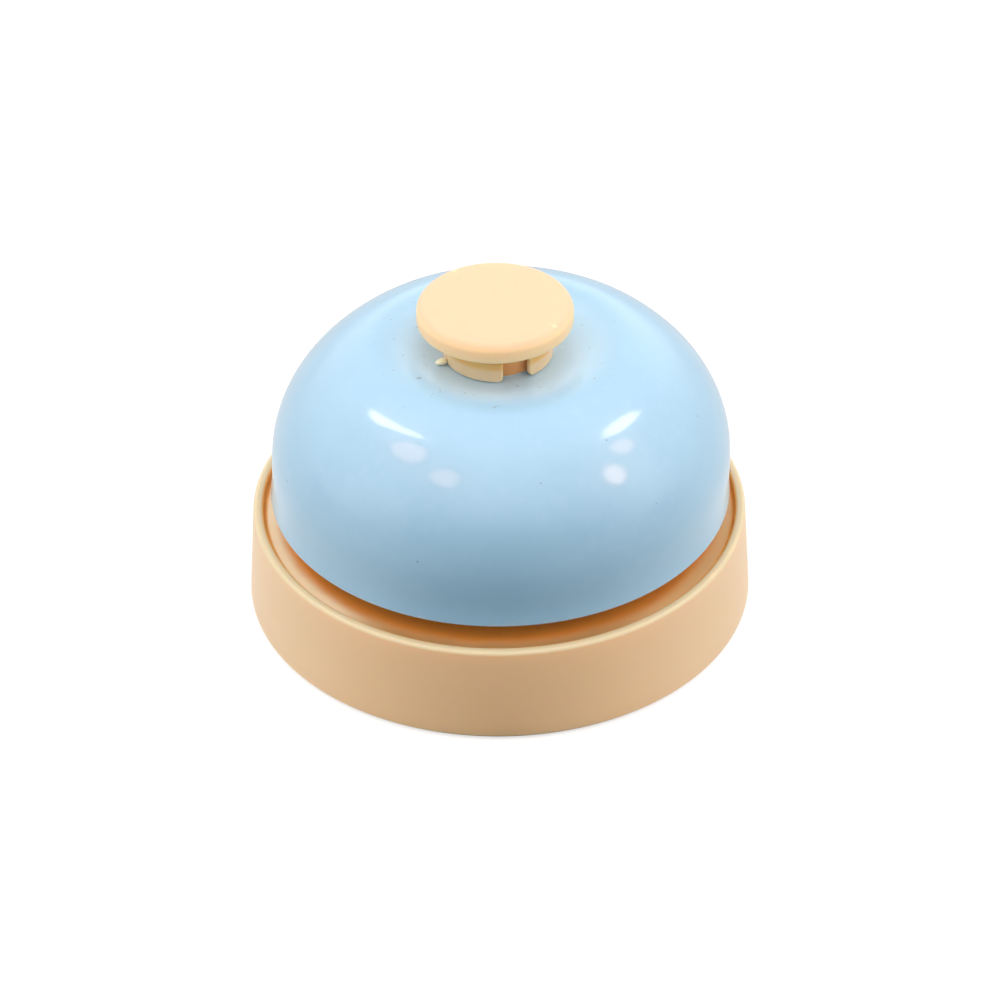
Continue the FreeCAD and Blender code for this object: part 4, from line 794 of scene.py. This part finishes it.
# ---------------------------------------------------------------------------------------
# Collar nut: barrel, web and three skirt segments with rounded corners
# ---------------------------------------------------------------------------------------
def sector_into(draft, start, end, inner, outer, bottom, top, corner, top_round):
    """A curved wall from start to end degrees.

    Its lower corners are rounded, as are its top outer edge and its ends.
    """
    middle = 0.5 * (inner + outer)
    arc = math.degrees(corner / middle)
    # rows crowd towards both ends so the corner arcs are round
    rows_wanted = max(8, int((end - start) / 1.6))
    even = np.linspace(start, end, rows_wanted + 1)
    angles = list(even[(even > start + arc) & (even < end - arc)])
    for turn in np.linspace(0, math.pi / 2, 9):
        angles.append(start + arc * (1 - math.cos(turn)))
        angles.append(end - arc * (1 - math.cos(turn)))
    soft = 0.14
    soft_arc = math.degrees(soft / middle)
    rows = []
    for angle in sorted(set(angles)):
        edge = min(angle - start, end - angle)
        lift = 0.0
        if edge < arc:
            lift = corner * (1 - math.sqrt(max(0.0, 1 - (1 - edge / arc) ** 2)))
        inset_share = min(1.0, edge / soft_arc)
        inset = soft * (1 - math.sqrt(max(0.0, 1 - (1 - inset_share) ** 2)))
        far, near = outer - inset, inner + inset
        low = min(bottom + lift, top - 0.6)
        section = rounded(
            [(near, top, 0.05), (near, low, 0.12), (far, low, 0.16), (far, top, top_round)],
            steps=5,
        )
        rows.append([
            draft.verts.new([value * MM for value in polar(radius, math.radians(angle), z)])
            for radius, z in section
        ])
    for row, following in zip(rows, rows[1:]):
        for k in range(len(row)):
            after = (k + 1) % len(row)
            draft.faces.new((row[k], row[after], following[after], following[k]))
    draft.faces.new(rows[0][::-1])
    draft.faces.new(rows[-1])


def build_collar():
    draft = bmesh.new()
    barrel = rounded([(5.0, 42.05, 0.05), (6.6, 42.05, 0.12), (6.6, COLLAR_TOP, 0.12),
                      (5.0, COLLAR_TOP, 0.25)], steps=4)
    lathe_into(draft, refine(barrel, longest=1.2), segments=192)
    for k in range(3):
        start = FIRST_SEGMENT + SEGMENT_PITCH * k
        sector_into(draft, start, start + SEGMENT_SPAN, inner=7.15, outer=8.00,
                    bottom=41.95, top=COLLAR_TOP, corner=0.75, top_round=0.70)
        # web that ties the segment to the barrel
        sector_into(draft, start + 0.4, start + SEGMENT_SPAN - 0.4, inner=6.45, outer=7.45,
                    bottom=44.35, top=COLLAR_TOP - 0.02, corner=0.05, top_round=0.05)
    # a small flash of plastic left at one corner
    bearing = math.radians(-158)
    place = Matrix.Translation(Vector(polar(8.75, bearing, 42.42)) * MM)
    stretch = Matrix.Diagonal((1.55, 0.85, 0.80, 1))
    bmesh.ops.create_icosphere(draft, subdivisions=3, radius=0.62 * MM,
                               matrix=place @ Matrix.Rotation(bearing, 4, "Z") @ stretch)
    add_part("collar_nut_moulding", draft, COLLAR, "frame", "collar_nut",
             angle=38)


# ---------------------------------------------------------------------------------------
# Button cap
# ---------------------------------------------------------------------------------------
# radius, height, corner radius
BUTTON_SECTION = [
    (0.0, 50.40), (11.35, 50.40, 1.30), (11.35, 47.60, 0.5), (11.05, 47.40, 0.16),  # head
    (9.6, 47.40, 0.1), (9.6, 48.50, 0.2), (4.3, 48.50, 0.2), (4.3, 47.40, 0.1),  # groove below
    (2.9, 47.40, 0.2), (2.9, 45.40, 0.2), (1.5, 45.40, 0.12),  # stem
    (1.5, 49.00, 0.1), (0.0, 49.00),  # bore
]


def build_button():
    draft = bmesh.new()
    section = refine(rounded(BUTTON_SECTION, closed=False, steps=10), longest=1.4, closed=False)
    lathe_into(draft, section, segments=256, closed=False)
    # the head of the button sits slightly to the left of its rod
    for vert in draft.verts:
        share = max(0.0, min(1.0, (math.hypot(vert.co.x, vert.co.y) / MM - 3.0) / 1.4))
        vert.co.x -= 0.38 * MM * share
    add_part("button_cap_moulding", draft, BUTTON, "plunger", "button_cap",
             angle=38)


# ---------------------------------------------------------------------------------------
# Return spring: a mesh coil
# ---------------------------------------------------------------------------------------
def coil(radius, wire, bottom, top, turns, steps=36, sides=14):
    """Coil of the given mean radius and wire radius, with close turns at both ends."""
    low, high, closed = bottom + wire, top - wire, 0.9
    pitch = 2 * wire * 1.06  # rise per close turn
    end_rise = pitch * closed
    count = int(turns * steps)
    path = []
    for i in range(count + 1):
        turn = turns * i / count
        if turn < closed:
            rise = pitch * turn
        elif turn > turns - closed:
            rise = (high - low) - pitch * (turns - turn)
        else:
            open_rise = (high - low) - 2 * end_rise
            rise = end_rise + open_rise * (turn - closed) / (turns - 2 * closed)
        path.append(Vector(polar(radius, 2 * math.pi * turn, low + rise)))
    draft = bmesh.new()
    rows = []
    for i, point in enumerate(path):
        ahead = path[min(i + 1, count)] - path[max(i - 1, 0)]
        ahead.normalize()
        side = Vector((point.x, point.y, 0)).normalized()
        up = ahead.cross(side).normalized()
        side = up.cross(ahead).normalized()
        row = []
        for k in range(sides):
            angle = 2 * math.pi * k / sides
            rim = point + side * wire * math.cos(angle) + up * wire * math.sin(angle)
            row.append(draft.verts.new(rim * MM))
        rows.append(row)
    for row, following in zip(rows, rows[1:]):
        for k in range(sides):
            after = (k + 1) % sides
            draft.faces.new((row[k], row[after], following[after], following[k]))
    draft.faces.new(rows[0][::-1])
    draft.faces.new(rows[-1])
    return draft


def build_spring():
    draft = coil(radius=2.55, wire=0.25, bottom=SPRING_FOOT, top=SPRING_FOOT + SPRING_LENGTH,
                 turns=8.5)
    spring = add_part("return_spring_coil", draft, WIRE, "frame", "return_spring",
                      angle=60)
    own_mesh(spring)


# ---------------------------------------------------------------------------------------
# Foot pads: soft discs with a slightly dished lower face
# ---------------------------------------------------------------------------------------
# radius, height, corner radius
PAD_SECTION = [
    (0.0, 0.06), (2.6, 0.05, 1.0), (3.4, 0.0, 0.4), (4.2, 0.0, 0.25), (4.5, 0.28, 0.3),
    (4.5, 1.40, 0.12), (0.0, 1.40),
]


def build_pads():
    draft = bmesh.new()
    for k in range(PAD_COUNT):
        x, y, _ = polar(PAD_RING, math.radians(45 + 90 * k), 0)
        section = rounded(PAD_SECTION, closed=False, steps=4)
        lathe_into(draft, section, segments=64, centre=(x, y), closed=False)
    add_part("foot_pads_rubber", draft, PAD, "frame", "foot_pads")


build_dome()
build_cup()
build_collar()
build_button()
build_spring()
build_pads()

# Finishes of the CAD nodes
FINISHES = (
    (COVER, ("bottom_cover",)),
    (SCREW, ("cover_screws", "bracket_screws", "head_rivet")),
    (SHEET, ("mount_bracket",)),
    (TURNED, ("post_tube", "post_lower_nut", "dome_support_nut", "plunger_rod", "pivot_pin")),
    (DARK, ("lock_washer", "stop_clip", "pivot_clip")),
    (FIBRE, ("fibre_washer",)),
    (FILM, ("soft_washer",)),
    (ARM, ("hammer_arm",)),
    (HEAD, ("hammer_head",)),
    (NYLON, ("pivot_spacers",)),
    (BLUE, ("bell_dome",)),
    (CUP, ("base_cup",)),
    (COLLAR, ("collar_nut",)),
    (BUTTON, ("button_cap",)),
    (WIRE, ("return_spring",)),
    (PAD, ("foot_pads",)),
)
for material, nodes in FINISHES:
    for node in nodes:
        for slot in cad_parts[node].material_slots:
            slot.material = material

# ---------------------------------------------------------------------------------------
# Stage: pale floor, studio world, two groups of side lights, camera
# ---------------------------------------------------------------------------------------
FLOOR_RADII = (0, 80, 200, 600, 2000, 6000)
# degrees from the front, strength of the floor's glow on the bell
FLOOR_GLOW = ((0, 0.00), (50, 0.79), (100, 1.02), (180, 0.66))
GLOW_MAX = 2
GLOW_UNDER_BELL = 0.75
FLOOR_LIT_SHARE = 0.62  # share of plain white in what the camera sees


def floor_material():
    mat = Surface("studio_floor_white")
    tone = mat.noise(scale=0.02) * 0.5
    mat.set(Base_Color=mat.mix(tone, (0.90, 0.90, 0.90), (0.93, 0.93, 0.93)),
            Roughness=0.9, Specular_IOR_Level=0.1)
    # what the bell itself receives from the table is a soft glow that falls off to the front
    x, y, z = mat.xyz()
    stops = [(angle, strength / GLOW_MAX) for angle, strength in FLOOR_GLOW]
    around = mat.ramp(mat.azimuth(x, y), stops, span=180.0)
    outside = mat.radius(x, y).smooth(start=33.0, end=36.5)
    strength = around * float(GLOW_MAX) * outside + (1.0 - outside) * GLOW_UNDER_BELL
    glow = mat.node("Emission", {"Strength": strength})
    white = mat.node("Emission", {"Strength": 1.0})
    table = mat.node("MixShader", {0: FLOOR_LIT_SHARE, 1: mat.shader, 2: white})
    camera_ray = mat.node("LightPath", {}, "Is Camera Ray")
    seen = mat.node("MixShader", {0: camera_ray, 1: glow, 2: table})
    # seen from below the table is clear, so the underside can be looked at
    below = mat.node("NewGeometry", {}, "Backfacing")
    clear = mat.node("BsdfTransparent", {})
    mat.show(mat.node("MixShader", {0: below, 1: seen, 2: clear}))
    return mat.material


def build_floor():
    draft = bmesh.new()
    lathe_into(draft, [(radius, 0) for radius in FLOOR_RADII], segments=96, closed=False)
    obj = add_object("studio_floor", draft)
    obj.data.materials.append(floor_material())


# Radiance of the studio around the bell: one row per elevation,
# columns at SKY_AZIMUTHS degrees from the front towards either side
SKY_AZIMUTHS = (0, 40, 80, 120, 180)
SKY = (
    (0, (0.00, 0.48, 2.10, 1.34, 0.95)),
    (12, (0.00, 0.78, 2.38, 1.45, 2.15)),
    (25, (0.99, 1.42, 2.61, 1.94, 1.61)),
    (40, (2.09, 1.78, 2.21, 1.89, 1.33)),
    (60, (2.62, 2.39, 2.38, 2.27, 2.08)),
    (90, (2.83, 2.83, 2.83, 2.83, 2.83)),
)
SKY_MAX = 6.0  # ramps hold radiance as a share of this


def build_world():
    world = bpy.data.worlds.new("studio")
    bpy.context.scene.world = world
    graph = Graph(world, "World")
    x, y, z = graph.split(graph.node("TexCoord", {}, "Generated"))
    rise = graph.math("MINIMUM", graph.math("MAXIMUM", z, 0.0), 1.0)
    elevation = graph.math("ARCSINE", rise) * DEGREES
    azimuth = graph.azimuth(x, y)
    total = None
    for i, (height, row) in enumerate(SKY):
        # each row fades out at its neighbours' elevations
        stops = [(lower, 0.0) for lower, _ in SKY[:i][-1:]]
        stops.append((height, 1.0))
        stops += [(upper, 0.0) for upper, _ in SKY[i + 1:i + 2]]
        share = graph.ramp(elevation, stops, span=90.0)
        levels = [(angle, level / SKY_MAX) for angle, level in zip(SKY_AZIMUTHS, row)]
        term = share * graph.ramp(azimuth, levels, span=180.0)
        total = term if total is None else total + term
    # the camera itself sees plain white
    camera_ray = graph.node("LightPath", {}, "Is Camera Ray")
    seen = graph.node("Mix", {"Factor": camera_ray, 2: total, 3: 1.0 / SKY_MAX})
    graph.show(graph.node("Background", {"Strength": seen * SKY_MAX}))


LAMP_DISTANCE = 0.9  # metres from the bell
LAMP_AIM = Vector((0, 0, 0.03))
LAMP_GROW = 1.12  # size of the faded outer edge against the outline
PALE, WARM = (1.0, 0.86, 0.80), (1.0, 0.66, 0.52)
# name, radiance, colour, evenly lit core as a share of the panel,
# outline as (degrees from the front towards +X, elevation)
LAMPS = (
    ("left_wedge", 11.5, PALE, 0.78, (
        (-121.3, 43.7), (-119.1, 47.4), (-114.3, 52.6), (-107.2, 57.7), (-100.5, 63.0),
        (-92.6, 64.6), (-96.9, 59.6), (-101.6, 55.2), (-105.4, 51.3), (-108.5, 46.0),
        (-113.6, 43.6), (-118.9, 42.2))),
    ("left_panel", 6.2, WARM, 0.6, (
        (-88.6, 44.6), (-90.0, 50.0), (-90.9, 57.7), (-80.5, 61.4), (-69.5, 60.6),
        (-61.4, 52.8), (-67.2, 46.6), (-77.6, 44.2))),
    ("left_front", 5.6, WARM, 0.6, (
        (-54.4, 47.8), (-52.2, 53.0), (-46.7, 57.4), (-36.5, 57.9), (-29.0, 54.6),
        (-30.8, 48.2), (-37.3, 45.4), (-46.1, 45.9))),
    ("right_wedge", 10.5, PALE, 0.78, (
        (90.2, 55.5), (93.9, 50.3), (100.4, 46.9), (107.9, 43.2), (116.2, 40.6),
        (117.5, 45.2), (114.5, 49.7), (108.7, 53.8), (101.1, 56.5))),
    ("right_panel", 6.4, WARM, 0.6, (
        (78.5, 48.6), (87.2, 49.0), (92.6, 44.4), (93.5, 37.8), (88.7, 35.1),
        (82.4, 36.8), (77.4, 41.2))),
    ("right_front", 9.5, WARM, 0.5, (
        (61.9, 42.1), (67.6, 43.8), (73.3, 41.2), (75.2, 36.1), (73.3, 29.8),
        (66.8, 27.2), (61.8, 30.1), (60.0, 37.0))),
)


def lamp_corner(azimuth, elevation):
    azimuth, elevation = math.radians(azimuth), math.radians(elevation)
    level = math.cos(elevation)
    direction = (math.sin(azimuth) * level, -math.cos(azimuth) * level, math.sin(elevation))
    return Vector(direction) * LAMP_DISTANCE + LAMP_AIM


def build_lamp(name, radiance, colour, core, outline):
    """A glowing panel with softened edges."""
    corners = [lamp_corner(*corner) for corner in outline]
    count = len(corners)
    middle = sum(corners, Vector()) / count
    draft = bmesh.new()
    centre = draft.verts.new(middle)
    inner, outer = (
        [draft.verts.new(middle + (corner - middle) * size) for corner in corners]
        for size in (LAMP_GROW * core, LAMP_GROW)
    )
    for k in range(count):
        after = (k + 1) % count
        draft.faces.new((centre, inner[k], inner[after]))
        draft.faces.new((inner[k], outer[k], outer[after], inner[after]))
    obj = add_object(name, draft)
    # full glow at the centre and inner ring, none at the outer ring
    fade = obj.data.color_attributes.new("fade", "FLOAT_COLOR", "POINT")
    for i, item in enumerate(fade.data):
        level = 0.0 if i > count else 1.0
        item.color = (level, level, level, 1.0)
    material = bpy.data.materials.new(name + "_glow")
    graph = Graph(material)
    strength = graph.node("Attribute", {}, "Fac", attribute_name="fade") * radiance
    graph.show(graph.node("Emission", {"Color": colour, "Strength": strength}))
    obj.data.materials.append(material)
    obj.visible_camera = False
    obj.visible_shadow = False


CAMERA_LENS, CAMERA_SENSOR = 144.9, 36.0
CAMERA_TARGET = (0.121, 0.0, 14.961)
CAMERA_ELEVATION, CAMERA_ROLL = 36.777, -0.452  # degrees
CAMERA_DISTANCE = 0.600  # metres


def build_camera():
    data = bpy.data.cameras.new("camera")
    data.lens, data.sensor_width = CAMERA_LENS, CAMERA_SENSOR
    data.clip_start, data.clip_end = 0.01, 50
    camera = bpy.data.objects.new("camera", data)
    bpy.context.scene.collection.objects.link(camera)
    elevation = math.radians(CAMERA_ELEVATION)
    back = Vector((0, -math.cos(elevation), math.sin(elevation)))
    camera.location = Vector(CAMERA_TARGET) * MM + back * CAMERA_DISTANCE
    roll = Matrix.Rotation(math.radians(CAMERA_ROLL), 3, "Z").to_quaternion()
    camera.rotation_mode = "QUATERNION"
    camera.rotation_quaternion = (-back).to_track_quat("-Z", "Y") @ roll
    bpy.context.scene.camera = camera


build_floor()
build_world()
for lamp in LAMPS:
    build_lamp(*lamp)
build_camera()

scene = bpy.context.scene
scene.display_settings.display_device = "sRGB"
scene.view_settings.view_transform = "Standard"
scene.view_settings.look = "None"
scene.view_settings.exposure, scene.view_settings.gamma = 0.0, 1.0
